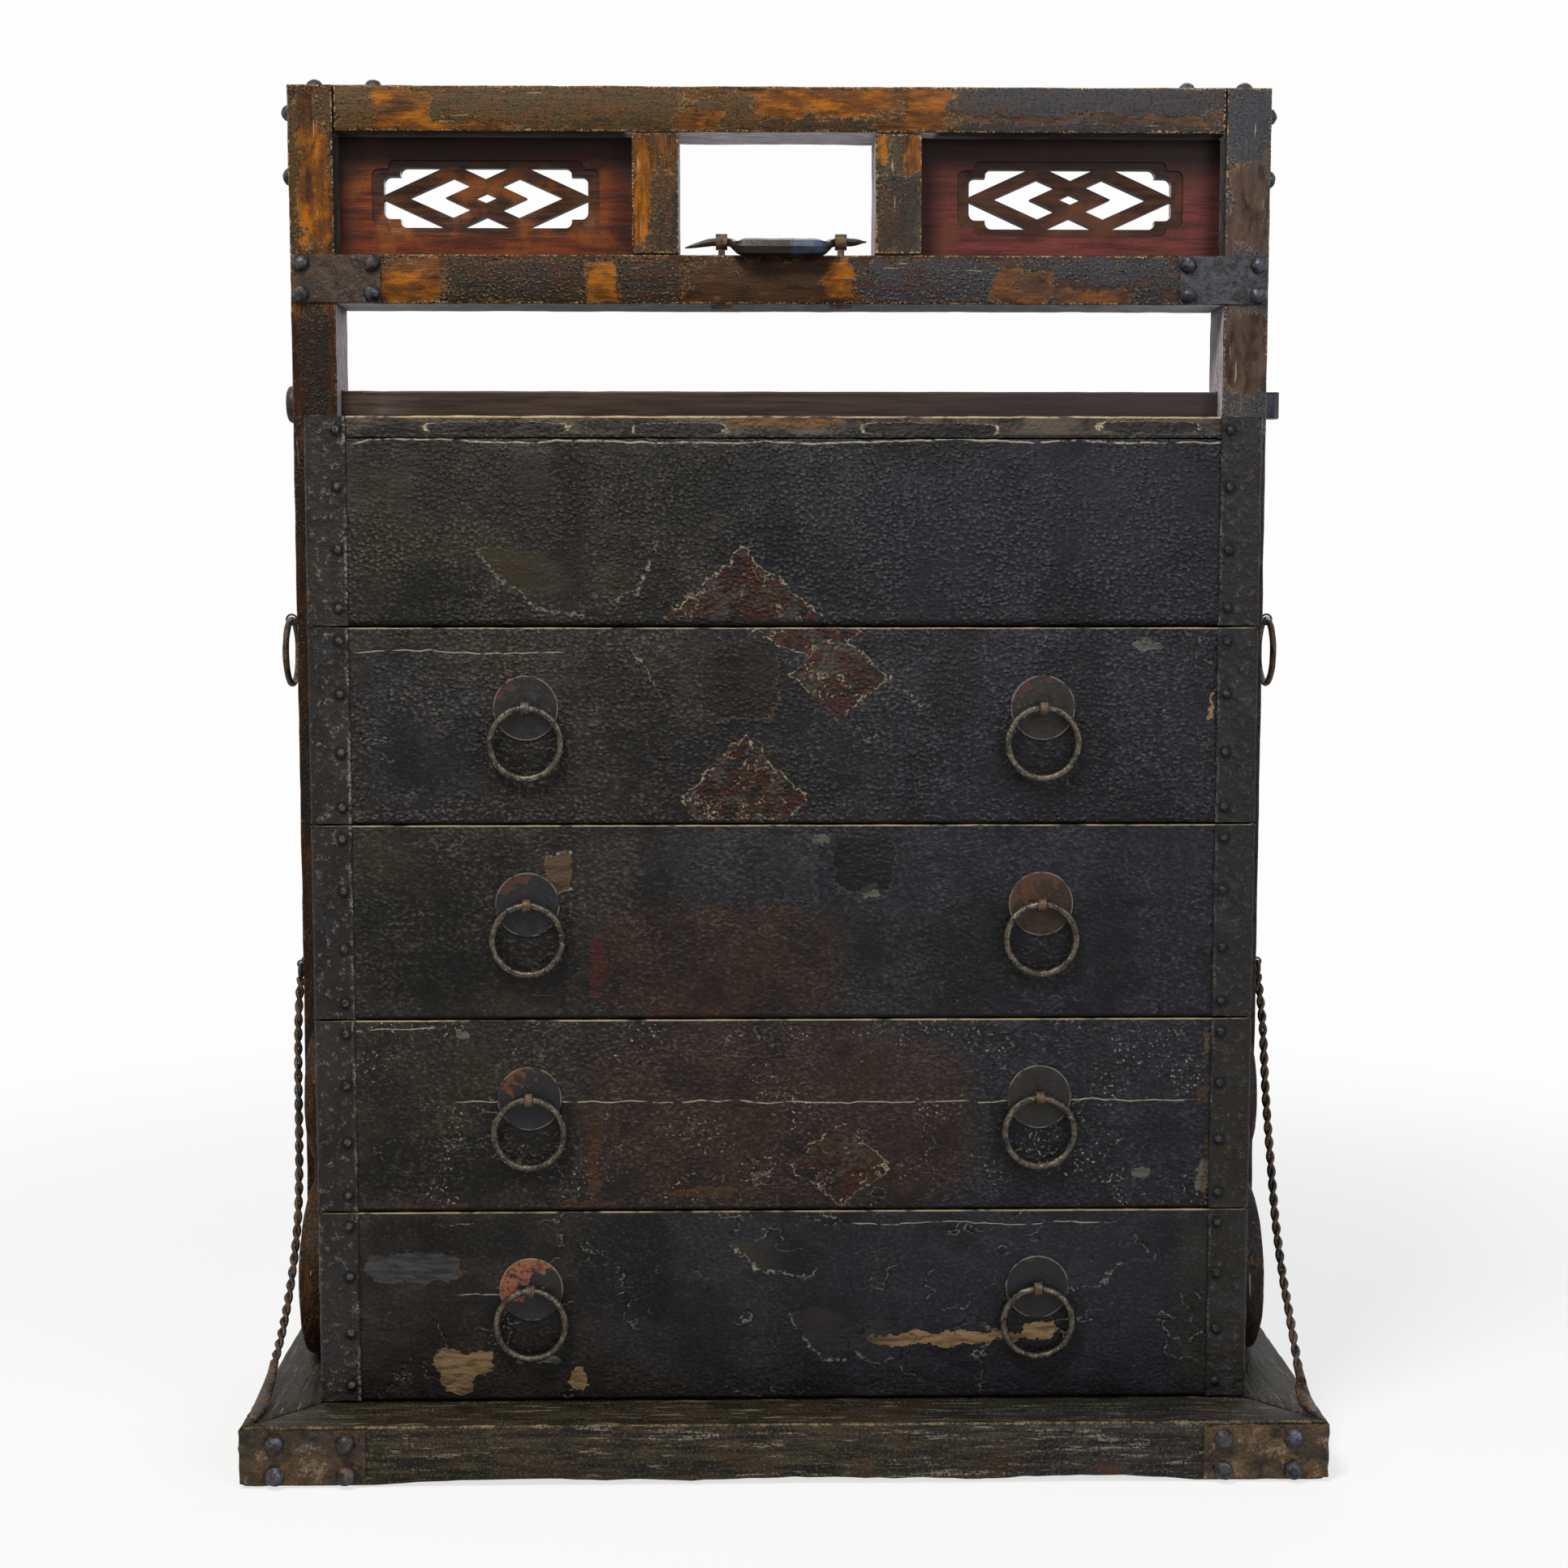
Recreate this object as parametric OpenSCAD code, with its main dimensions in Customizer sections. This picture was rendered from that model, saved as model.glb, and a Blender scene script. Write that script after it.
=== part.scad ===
// A dowry carrier of lacquered wood and wrought iron: a mitred base frame, two posts with a
// fretwork yoke, and a stack of four trays and a deep lid that stands between the posts.
// Millimetres. X runs left to right, Y runs front to back, Z runs up. The origin is on the
// floor, at the middle of the base.

/* [Base frame] */
// Depth of the base frame, front to back
base_d = 600; // [560:5:660]
// Height of the base rails
base_h = 61; // [50:1:80]
// Width of the base rails, seen from above
base_rail_w = 90; // [84:1:100]
// How far the base stands out past each post
base_reach = 16; // [12:1:24]
// Radius of the worn edges of the frame timbers
edge_r = 3; // [1:0.5:5]

/* [Boxes] */
// Width of the trays and the lid
box_w = 917; // [860:1:980]
// Depth of the trays and the lid
box_d = 470; // [440:2:490]
// Height of one tray
tray_h = 191; // [180:1:220]
// Height of the lid
lid_h = 202; // [160:1:230]
// Thickness of the box sides
board_t = 18; // [14:1:22]
// Thickness of the tray floors
floor_t = 10; // [6:1:16]
// Thickness of the lid's top board
lid_board_t = 22; // [16:1:28]
// Radius of the upright corners of the boxes
box_corner_r = 6; // [3:1:9]
// Gap between a box and the post beside it
slide_gap = 2.5; // [2:0.1:4]
// Gap between one box and what it stands on
seat_gap = 0.3; // [0.2:0.1:0.5]
// Width of each leg of a corner strip
strip_w = 40; // [30:1:52]
// Thickness of the corner strips
strip_t = 1.2; // [0.8:0.1:1.5]

/* [Posts and rails] */
// Width of a post, seen from the front
post_w = 48; // [42:1:56]
// Depth of the posts, rails and struts
post_d = 72; // [64:1:84]
// Height of the top rail
top_rail_h = 48; // [40:1:60]
// Height of the lower rail
lower_rail_h = 52; // [46:1:64]
// Height of the opening between the two rails
window_h = 123; // [112:1:140]
// Width of the opening for the carrying pole
window_w = 202; // [190:2:220]
// Width of a strut beside the pole opening
strut_w = 50; // [40:1:60]
// Space between the locking bar and the lower rail
hand_gap = 86; // [70:1:110]
// Thickness of the tenons
tenon_t = 20; // [14:1:26]
// Length of the tenons on the rails and the posts
tenon_l = 36; // [24:1:40]
// Play of a tenon in its mortise
tenon_play = 0.15; // [0.1:0.05:0.3]
// Wood left at the front and the back of a post's foot tenon
foot_shoulder = 14; // [8:1:20]
// Wood left above and below a rail's tenon
rail_shoulder = 8; // [5:1:12]
// How far the pole opening lies to the left of the middle
window_shift = 4.5; // [0:0.5:8]

/* [Fretwork panels] */
// Thickness of a panel
panel_t = 14; // [11:1:18]
// How far a panel's face lies behind the front of the frame
panel_recess = 30; // [24:1:36]
// Width of the pierced field
field_w = 213; // [200:1:226]
// Height of the pierced field
field_h = 62; // [58:1:68]
// Step of the cusped corners along the width
cusp_x = 17; // [12:1:20]
// Step of the cusped corners along the height
cusp_y = 9; // [7:1:11]
// Radius of the lobes beside a cusp
cusp_r = 7; // [4:0.5:8]
// Width of the sunk band at the ends of the field
band_x = 12; // [8:1:15]
// Width of the sunk band above and below the field
band_y = 7.5; // [5:0.5:10]
// Depth of the sunk band and of the lattice in it
band_sink = 2; // [1:0.5:3]
// Half the height of a lozenge, to its outer edge
fret_rise = 35; // [34:0.5:38]
// How far a lozenge's point runs into the band
fret_lap = 5; // [3:0.5:7]
// Half the width of a lozenge's hole
fret_hole_x = 46.5; // [44:0.5:49]
// Half the height of a lozenge's hole
fret_hole_z = 20.5; // [19:0.5:22]
// Distance of each lozenge's centre from the middle of the field
fret_shift = 34.5; // [32:0.5:37]

/* [Spandrels] */
// Thickness of the spandrel boards
spandrel_t = 25; // [18:1:30]
// Distance of a spandrel's outer face behind the post's outer face
spandrel_inset = 12; // [8:1:14]
// Radius of the drum at the foot
drum_r = 91; // [80:1:96]
// Distance of the drum's centre from the post's face
drum_y = 24; // [16:1:32]
// Height that the drum's centre stands above the base
drum_z = 85; // [74:1:88]
// Radius of the shoulder above the drum
shoulder_r = 72; // [62:1:76]
// Height of the shoulder's centre above the drum's centre
shoulder_rise = 183; // [174:1:190]
// Radius of the hollow at the neck
neck_r = 14; // [10:1:18]

/* [Locking bar] */
// Height of the bar
bar_h = 28; // [22:1:34]
// Thickness of the bar, front to back
bar_t = 26; // [20:1:30]
// Distance of the bar's middle behind the middle of the posts
bar_y = 4; // [-6:1:8]
// Space between the lid and the bar
bar_lift = 14; // [8:1:20]
// Play of the bar in its slots
bar_play = 0.4; // [0.3:0.1:0.8]
// Radius of the bar's head
bar_head_r = 20; // [18:1:26]
// Thickness of the bar's head
bar_head_t = 11; // [8:1:14]
// Length of the bar that stands out of the right post
bar_tail = 20; // [12:1:21]
// Chamfer on the corners of the bar's tail
bar_chamfer = 7; // [4:0.5:9]
// Rounding of the bar's head
bar_head_round = 6; // [3:0.5:9]

/* [Rings] */
// Radius of a ring's centre line
ring_r = 34; // [30:0.5:36]
// Radius of a ring's iron
ring_wire_r = 3.6; // [3:0.1:4]
// Gap between a ring and its eye
ring_play = 0.7; // [0.5:0.1:0.9]
// Thickness of the iron of an eye
eye_t = 2.2; // [1.8:0.1:3]
// Width of the strap eyes on the trays
eye_w = 8; // [6:1:10]
// Radius of the backplates
plate_r = 31.5; // [28:0.5:36]
// Thickness of the backplates and the iron straps
plate_t = 1.5; // [1:0.1:2.5]
// Distance of the rings from the middle of a tray
ring_x = 250; // [220:5:290]
// Distance of the eyes below the tray's top edge
ring_drop = 78; // [76:1:84]
// Height of the side rings' eyes above the base
side_ring_rise = 769; // [720:1:840]
// Distance of the side rings' eyes from the posts
side_eye_reach = 4.5; // [3:0.5:7]
// Length of the shanks in the posts
shank_l = 30; // [20:1:36]
// Play of a shank in its bore
shank_play = 0.1; // [0.05:0.05:0.2]
// Height of a tray eye's shank
shank_h = 4.5; // [3:0.5:6]
// Reach of a clenched shank above and below its bore
clench_h = 12; // [8:1:16]
// Thickness of a clenched shank
clench_t = 2; // [1.5:0.1:3]

/* [Bail handle] */
// Radius of the bail's iron in its eyes
bail_wire_r = 4.5; // [3.5:0.1:5.5]
// Radius of the bail's grip
bail_grip_r = 9.5; // [8:0.5:10]
// Reach of the grip from the line through the eyes
bail_reach = 22.5; // [22:0.5:24]
// Angle that the bail hangs down at rest
bail_angle = 22; // [18:1:24]
// Distance of each eye from the middle
bail_eye_x = 62; // [58:1:66]
// Width of the bail's eyes
bail_eye_w = 12; // [10:1:14]
// Distance of the eyes behind the front of the rail
bail_inset = 10; // [9:0.5:11]
// Length of the grip between its shoulders
bail_grip_l = 80; // [74:1:84]
// Length of the bail's left pointed end outside its eye
bail_tip_left = 30; // [24:1:32]
// Length of the bail's right pointed end outside its eye
bail_tip_right = 18; // [14:1:24]
// Angle that the left pointed end droops
bail_droop = 12; // [0:1:16]
// Play of the bail in its eyes
bail_play = 0.6; // [0.4:0.1:0.9]
// Thickness of the iron of the bail's eyes
bail_eye_t = 3.2; // [2.5:0.1:4]
// Gap between the bail's eyes and the rail
bail_rise = 5.1; // [4:0.1:6]
// Width of the shanks that go through the rail
bail_shank_w = 7; // [5:0.5:9]
// Reach of a clenched bail shank to each side
bail_clench = 11; // [8:1:14]
// Thickness of a clenched bail shank
bail_clench_t = 3; // [2:0.5:4]
// Length of the tapers of the grip
bail_taper = 6; // [4:1:7]

/* [Iron straps and nails] */
// Length of a base strap along the front
strap_front = 121; // [100:1:140]
// Length of a base strap along the side
strap_side = 90; // [80:1:110]
// Length of a top strap along the rail
top_strap_l = 96; // [90:1:120]
// Length of a top strap down the post
side_strap_l = 100; // [94:1:120]
// Width of the top straps
top_strap_w = 48; // [46:1:60]
// Width of the plates over the rail joints
joint_plate_w = 92; // [84:1:104]
// Height of the plates over the rail joints
joint_plate_h = 50; // [44:1:52]
// Radius of a nail's head
nail_r = 8; // [6:0.5:8.5]
// Height of a nail's head
nail_h = 7.5; // [5:0.5:8]
// Distance of a nail from the edge of its strap
nail_inset = 9.5; // [9:0.5:12]
// Distance of the nails of the top straps from the middle of their strap
nail_side = 14; // [12:0.5:15]
// Distance of the first nails of the top straps from the corner
top_nail_corner = 26; // [20:1:30]
// Distance of the first nails of the base straps from the corner
base_nail_corner = 33; // [26:1:40]
// Distance of the last nails from the ends of the base straps
base_nail_end = 20; // [14:1:26]
// Distance of the lower nails from the lower edge of a base strap
base_nail_low = 8.5; // [8:0.5:12]
// Distance of the upper nails from the upper edge of a base strap
base_nail_high = 14; // [8:0.5:16]
// Width left bare at the ends of a corner strip
strip_reveal = 1; // [0.5:0.5:2]

/* [Wire stays] */
// Half the width of the twisted pair
stay_r = 4.9; // [4:0.1:5.5]
// Half the thickness of the twisted pair at its waist
stay_waist = 2.4; // [2:0.1:3]
// Length along the stay of one full turn
stay_pitch = 30; // [24:1:36]
// Radius of the iron in the loop at the top of a stay
stay_loop_wire = 2.3; // [1.8:0.1:2.5]
// Height of the eyes that hold the stays above the base
stay_eye_rise = 401; // [396:1:406]
// Distance of each stay's eye from the middle of the post
stay_eye_y = 12; // [9:0.5:14]
// Play of a stay's loop in its eye
stay_play = 0.5; // [0.3:0.1:0.8]
// Gap between a stay's eye and its post
stay_gap = 0.6; // [0.3:0.1:1]
// Radius of the loop at the top of a stay
stay_loop_r = 7; // [6:0.5:8]
// Distance of the tip of a stay's forged foot from the front of the base
stay_foot_inset = 16; // [12:1:22]
// Half the width of a stay's forged foot
stay_foot_r = 7.5; // [6:0.5:9]
// Half the width of the foot's tip
stay_tip_r = 4.5; // [3:0.5:6]
// Thickness of a stay's forged foot
stay_foot_t = 4.5; // [3:0.5:6]
// Length of a stay's forged foot, from its widest place to its tip
stay_foot_l = 32; // [26:1:40]

/* [Hidden] */
$fn = 48;
TRAYS = [1, 2, 3, 4];
SIDES = ["left", "right"];
ENDS = ["front", "rear"];

// Levels, from the floor up
tray_pitch = tray_h + seat_gap;
lid_z = base_h + seat_gap + len(TRAYS) * tray_pitch;
lid_top_z = lid_z + lid_h;
bar_z = lid_top_z + bar_lift;
lower_rail_z = bar_z + bar_h + hand_gap;
window_z = lower_rail_z + lower_rail_h;
top_rail_z = window_z + window_h;
frame_h = top_rail_z + top_rail_h;

// Widths, from the boxes outwards
post_in = box_w / 2 + slide_gap;
post_out = post_in + post_w;
base_w = 2 * (post_out + base_reach);
function strut_in(side) = window_w / 2 - side * window_shift;
function strut_out(side) = strut_in(side) + strut_w;
function panel_w(side) = post_in - strut_out(side);
box_front = -box_d / 2;
post_front = -post_d / 2;

// Eyes and the pieces that hang in them
side_ring_z = base_h + side_ring_rise;
eye_hole = ring_wire_r + ring_play;
eye_r = eye_hole + eye_t;
ring_y = box_front - plate_t - eye_r;
side_ring_x = post_out + eye_r + side_eye_reach;
bail_y = post_front + bail_inset;
bail_eye_hole = bail_wire_r + bail_play;
bail_eye_r = bail_eye_hole + bail_eye_t;
bail_z = window_z + bail_eye_r + bail_rise;
stay_eye_hole = stay_loop_wire + stay_play;
stay_eye_r = stay_eye_hole + eye_t;
stay_x = post_out + stay_eye_r + stay_gap;
stay_eye_z = base_h + stay_eye_rise;
stay_foot_y = base_d / 2 - stay_foot_inset;
strap_gap = edge_r + 0.5;

// Routes of the front stays, each in a plane beside its post: they hang down the post, then swing
// out to a forged foot at the corner of the base. Each point is a distance behind the foot's tip
// and a drop below the eye, and the distances stretch with the way from the eye to the foot. The
// right pair hangs slacker than the left
stay_drop_left = [
    [270, 15], [260, 34], [251, 67], [247, 112], [245, 162], [242, 212],
    [233, 257], [212, 294], [182, 327], [144, 355], [98, 378]
];
stay_drop_right = [
    [270, 15], [256, 38], [242, 67], [226, 127], [206, 176], [185, 223],
    [170, 254], [150, 283], [128, 309], [108, 328], [87, 349], [60, 378]
];
stay_reach = 272;
stay_stretch = (stay_foot_y - stay_eye_y) / stay_reach;
function stay_route(side) = [for (p = side < 0 ? stay_drop_left : stay_drop_right)
    [stay_foot_y - p[0] * stay_stretch, stay_eye_z - p[1]]];
stay_rings_per_turn = 6;
stay_sides = 8;
route_steps = 12;

function side_of(s) = s == "left" ? -1 : 1;
function end_of(e) = e == "front" ? -1 : 1;
function tray_z(n) = base_h + seat_gap + (len(TRAYS) - n) * tray_pitch;
function ring_z(n) = tray_z(n) + tray_h - ring_drop;

// Flat shapes and small helpers

module soft_rect(w, h, r) {
    square([w - 2 * r, h], center = true);
    square([w, h - 2 * r], center = true);
    for (x = [-1, 1], y = [-1, 1])
        translate([x * (w / 2 - r), y * (h / 2 - r)]) circle(r);
}

// A timber along X, from x0 to x1, centred on y, with its underside at z
module beam_x(x0, x1, y, z, d, h) {
    translate([x0, y, z + h / 2])
        rotate([90, 0, 90]) linear_extrude(x1 - x0) soft_rect(d, h, edge_r);
}

// A timber along Y, from y0 to y1, centred on x, with its underside at z
module beam_y(y0, y1, x, z, w, h) {
    translate([x, y1, z + h / 2])
        rotate([90, 0, 0]) linear_extrude(y1 - y0) soft_rect(w, h, edge_r);
}

// A timber along Z, from z0 to z1, centred on x and y
module beam_z(x, y, z0, z1, w, d) {
    translate([x, y, z0]) linear_extrude(z1 - z0) soft_rect(w, d, edge_r);
}

module block(x0, x1, y0, y1, z0, z1) {
    translate([x0, y0, z0]) cube([x1 - x0, y1 - y0, z1 - z0]);
}

// A board whose ends are mitred at the corners of a w by d frame, on the side that faces -Y
module mitre_plan(w, d, t) {
    polygon([[-w / 2, -d / 2], [w / 2, -d / 2], [w / 2 - t, t - d / 2], [t - w / 2, t - d / 2]]);
}

module torus(r, wire) {
    rotate_extrude() translate([r, 0]) circle(wire);
}

// A domed nail head that stands on z = 0
module nail_head() {
    cap_r = (nail_r * nail_r + nail_h * nail_h) / (2 * nail_h);
    rotate_extrude() intersection() {
        translate([0, nail_h - cap_r]) circle(cap_r);
        square([nail_r, nail_h]);
    }
}

module nail_on_front(x, y, z, end) {
    translate([x, y, z]) rotate([end < 0 ? 90 : -90, 0, 0]) nail_head();
}

module nail_on_side(x, y, z, side) {
    translate([x, y, z]) rotate([0, side * 90, 0]) nail_head();
}

// Base frame

module base_mitre(front) {
    w = front ? base_w : base_d;
    d = front ? base_d : base_w;
    translate([0, 0, -1]) linear_extrude(base_h + 2) mitre_plan(w, d, base_rail_w);
}

module base_cross_rail(end) {
    color("#33301f") intersection() {
        beam_x(-base_w / 2, base_w / 2, end * (base_d - base_rail_w) / 2, 0, base_rail_w, base_h);
        rotate([0, 0, end < 0 ? 0 : 180]) base_mitre(true);
    }
}

module base_side_rail(side) {
    x = side * (base_w - base_rail_w) / 2;
    color("#33301f") difference() {
        intersection() {
            beam_y(-base_d / 2, base_d / 2, x, 0, base_rail_w, base_h);
            rotate([0, 0, side * 90]) base_mitre(false);
        }
        post_foot(side, tenon_play);
    }
}

// A thin iron strap folded round one corner of the base
module base_corner_strap(side, end) {
    rise = base_h - 2 * strap_gap;
    translate([0, 0, strap_gap]) linear_extrude(rise) intersection() {
        difference() {
            soft_rect(base_w + 2 * plate_t, base_d + 2 * plate_t, plate_t);
            square([base_w, base_d], center = true);
        }
        translate([side * base_w / 2, end * base_d / 2])
            square(2 * [strap_front, strap_side], center = true);
    }
}

module base_corner_straps() {
    color("#3a332c") for (s = [-1, 1], e = [-1, 1]) base_corner_strap(s, e);
}

module base_nails() {
    low = strap_gap + base_nail_low;
    high = base_h - strap_gap - base_nail_high;
    color("#4a443d") for (s = [-1, 1], e = [-1, 1]) {
        face_y = e * (base_d / 2 + plate_t);
        face_x = s * (base_w / 2 + plate_t);
        for (x = [base_nail_corner, strap_front - base_nail_end], z = [low, high])
            nail_on_front(s * (base_w / 2 - x), face_y, z, e);
        for (y = [base_nail_corner, strap_side - base_nail_end])
            nail_on_side(face_x, e * (base_d / 2 - y), (low + high) / 2, s);
    }
}

// Posts, rails and struts

// The tenon that goes into the base, grown by the play where it cuts the mortise
module post_foot(side, play) {
    x = side * (post_in + post_w / 2);
    w = tenon_t / 2 + play;
    d = post_d / 2 - foot_shoulder + play;
    block(x - w, x + w, -d, d, base_h - tenon_l - play, base_h + 1);
}

module rail_tenon(side, z, h, play) {
    inner = side * (post_in - 1);
    outer = side * (post_in + tenon_l + play);
    w = tenon_t / 2 + play;
    block(min(inner, outer), max(inner, outer), -w, w,
        z + rail_shoulder - play, z + h - rail_shoulder + play);
}

module bar_slot() {
    w = bar_t / 2 + bar_play;
    block(-post_out - 1, post_out + 1, bar_y - w, bar_y + w,
        bar_z - bar_play, bar_z + bar_h + bar_play);
}

module upright(side) {
    x = side * (post_in + post_w / 2);
    color("#5a3a1e") union() {
        difference() {
            beam_z(x, 0, base_h, frame_h, post_w, post_d);
            bar_slot();
            rail_tenon(side, top_rail_z, top_rail_h, tenon_play);
            rail_tenon(side, lower_rail_z, lower_rail_h, tenon_play);
            eye_bore(side, 0, side_ring_z);
            for (y = [-stay_eye_y, stay_eye_y]) eye_bore(side, y, stay_eye_z);
        }
        post_foot_tenon(side);
    }
}

module post_foot_tenon(side) {
    x = side * (post_in + post_w / 2);
    d = post_d / 2 - foot_shoulder;
    block(x - tenon_t / 2, x + tenon_t / 2, -d, d, base_h - tenon_l, base_h);
}

module rail_with_tenons(z, h) {
    beam_x(-post_in, post_in, 0, z, post_d, h);
    for (s = [-1, 1]) rail_tenon(s, z, h, 0);
}

module top_rail() {
    color("#6b3f1b") rail_with_tenons(top_rail_z, top_rail_h);
}

module lower_rail() {
    w = bail_shank_w / 2 + shank_play;
    color("#5c3818") difference() {
        rail_with_tenons(lower_rail_z, lower_rail_h);
        for (s = [-1, 1])
            block(s * bail_eye_x - w, s * bail_eye_x + w, bail_y - w, bail_y + w,
                lower_rail_z - 1, window_z + 1);
    }
}

module strut(side) {
    x = side * (strut_in(side) + strut_w / 2);
    color("#5e3c1c") beam_z(x, 0, window_z, top_rail_z, strut_w, post_d);
}

// Fretwork panels

// The field is two soft rectangles laid crosswise, which leaves a cusp in each corner
module cusped_field(grow_x, grow_y) {
    w = field_w + 2 * grow_x;
    h = field_h + 2 * grow_y;
    soft_rect(w, h - 2 * cusp_y, cusp_r);
    soft_rect(w - 2 * cusp_x, h, cusp_r);
}

module lozenge(half_w, half_h) {
    polygon([[-half_w, 0], [0, half_h], [half_w, 0], [0, -half_h]]);
}

// Two hollow lozenges that cross at the middle of the field
module lattice() {
    reach = field_w / 2 + fret_lap - fret_shift;
    for (s = [-1, 1]) translate([s * fret_shift, 0]) difference() {
        lozenge(reach, fret_rise);
        lozenge(fret_hole_x, fret_hole_z);
    }
}

module panel(side) {
    x = side * (strut_out(side) + panel_w(side) / 2);
    y = post_front + panel_recess;
    color("#4a1f14") translate([x, y, window_z + window_h / 2]) rotate([90, 0, 0]) difference() {
        translate([0, 0, -panel_t]) linear_extrude(panel_t) difference() {
            square([panel_w(side), window_h], center = true);
            difference() {
                cusped_field(0, 0);
                lattice();
            }
        }
        translate([0, 0, -band_sink]) linear_extrude(band_sink + 1) cusped_field(band_x, band_y);
    }
}

// Spandrels: a drum on the base and a shoulder above it, with a hollow neck between

module spandrel_outline() {
    drum = [drum_y, drum_z];
    shoulder = [-4, drum_z + shoulder_rise];
    step = shoulder - drum;
    span = norm(step);
    to_drum = drum_r + neck_r;
    to_shoulder = shoulder_r + neck_r;
    along = (to_drum * to_drum - to_shoulder * to_shoulder + span * span) / (2 * span);
    off = sqrt(to_drum * to_drum - along * along);
    unit = step / span;
    neck = drum + along * unit + off * [unit[1], -unit[0]];
    intersection() {
        difference() {
            union() {
                translate(drum) circle(drum_r);
                translate(shoulder) circle(shoulder_r);
                polygon([drum, neck, shoulder, [-1, shoulder[1]], [-1, drum[1]]]);
                translate([-1, 0]) square([drum_y + 1, drum_z]);
            }
            translate(neck) circle(neck_r);
        }
        square([drum_y + drum_r + 1, drum_z + shoulder_rise + shoulder_r]);
    }
}

module spandrel(side, end) {
    x = side * (post_out - spandrel_inset - spandrel_t / 2);
    color("#3f2c1b") translate([x - spandrel_t / 2, 0, base_h]) mirror([0, end < 0 ? 1 : 0, 0])
        translate([0, post_d / 2, 0]) rotate([90, 0, 90])
            linear_extrude(spandrel_t) spandrel_outline();
}

// Iron straps of the frame

module top_corner_straps() {
    color("#3a332c") for (s = [-1, 1]) {
        far = s * (post_out - top_strap_l);
        skin = s * (post_out + plate_t);
        w = top_strap_w / 2;
        block(min(far, skin), max(far, skin), -w, w, frame_h, frame_h + plate_t);
        block(min(s * post_out, skin), max(s * post_out, skin), -w, w,
            frame_h - side_strap_l, frame_h + plate_t);
    }
}

module joint_plates() {
    z = lower_rail_z + (lower_rail_h - joint_plate_h) / 2;
    color("#3a332c") for (s = [-1, 1], e = [-1, 1]) {
        outer = s * (post_out - edge_r);
        inner = s * (post_out - edge_r - joint_plate_w);
        face = e * post_d / 2;
        skin = e * (post_d / 2 + plate_t);
        block(min(outer, inner), max(outer, inner), min(face, skin), max(face, skin),
            z, z + joint_plate_h);
    }
}

module frame_nails() {
    plate_z = lower_rail_z + lower_rail_h / 2;
    half_h = joint_plate_h / 2 - nail_inset;
    outer = post_out - edge_r - nail_inset;
    inner = post_out - edge_r - joint_plate_w + nail_inset;
    color("#4a443d") for (s = [-1, 1]) {
        for (y = [-nail_side, nail_side]) {
            for (x = [post_out - top_nail_corner, post_out - top_strap_l + nail_inset])
                translate([s * x, y, frame_h + plate_t]) nail_head();
            for (z = [frame_h - top_nail_corner, frame_h - side_strap_l + nail_inset])
                nail_on_side(s * (post_out + plate_t), y, z, s);
        }
        for (e = [-1, 1], x = [outer, inner], z = [plate_z - half_h, plate_z + half_h])
            nail_on_front(s * x, e * (post_d / 2 + plate_t), z, e);
    }
}

// Eyes in the outer faces of the posts, for the side rings and the stays

module eye_bore(side, y, z) {
    translate([side * (post_out - shank_l), y, z]) rotate([0, side * 90, 0])
        cylinder(h = shank_l + 1, r = eye_t / 2 + shank_play);
}

module post_eye(side, y, z, hole, reach) {
    ring = hole + eye_t / 2;
    translate([side * (post_out + ring + eye_t / 2 + reach), y, z]) {
        rotate([90, 0, 0]) torus(ring, eye_t / 2);
        translate([-side * ring, 0, 0]) rotate([0, -side * 90, 0])
            cylinder(h = reach + shank_l + eye_t / 2 - 0.2, r = eye_t / 2);
    }
}

module side_ring_eyes() {
    color("#4b3b28") for (s = [-1, 1]) post_eye(s, 0, side_ring_z, eye_hole, side_eye_reach);
}

module stay_eyes() {
    color("#4b3b28") for (s = [-1, 1], y = [-stay_eye_y, stay_eye_y])
        post_eye(s, y, stay_eye_z, stay_eye_hole, 0);
}

module side_ring(side) {
    color("#3b3128") translate([side * side_ring_x, 0, side_ring_z - ring_r])
        rotate([0, 90, 0]) torus(ring_r, ring_wire_r);
}

// Bail handle and its eyes

module bail_eyes() {
    w = bail_shank_w / 2;
    color("#3f3630") for (s = [-1, 1]) translate([s * bail_eye_x, bail_y, 0]) {
        difference() {
            union() {
                translate([0, 0, bail_z]) rotate([0, 90, 0])
                    cylinder(h = bail_eye_w, r = bail_eye_r, center = true);
                block(-w, w, -w, w, lower_rail_z - bail_clench_t, bail_z);
                block(-bail_clench, bail_clench, -w, w,
                    lower_rail_z - bail_clench_t, lower_rail_z);
            }
            translate([0, 0, bail_z]) rotate([0, 90, 0])
                cylinder(h = bail_eye_w + 2, r = bail_eye_hole, center = true);
        }
    }
}

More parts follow.
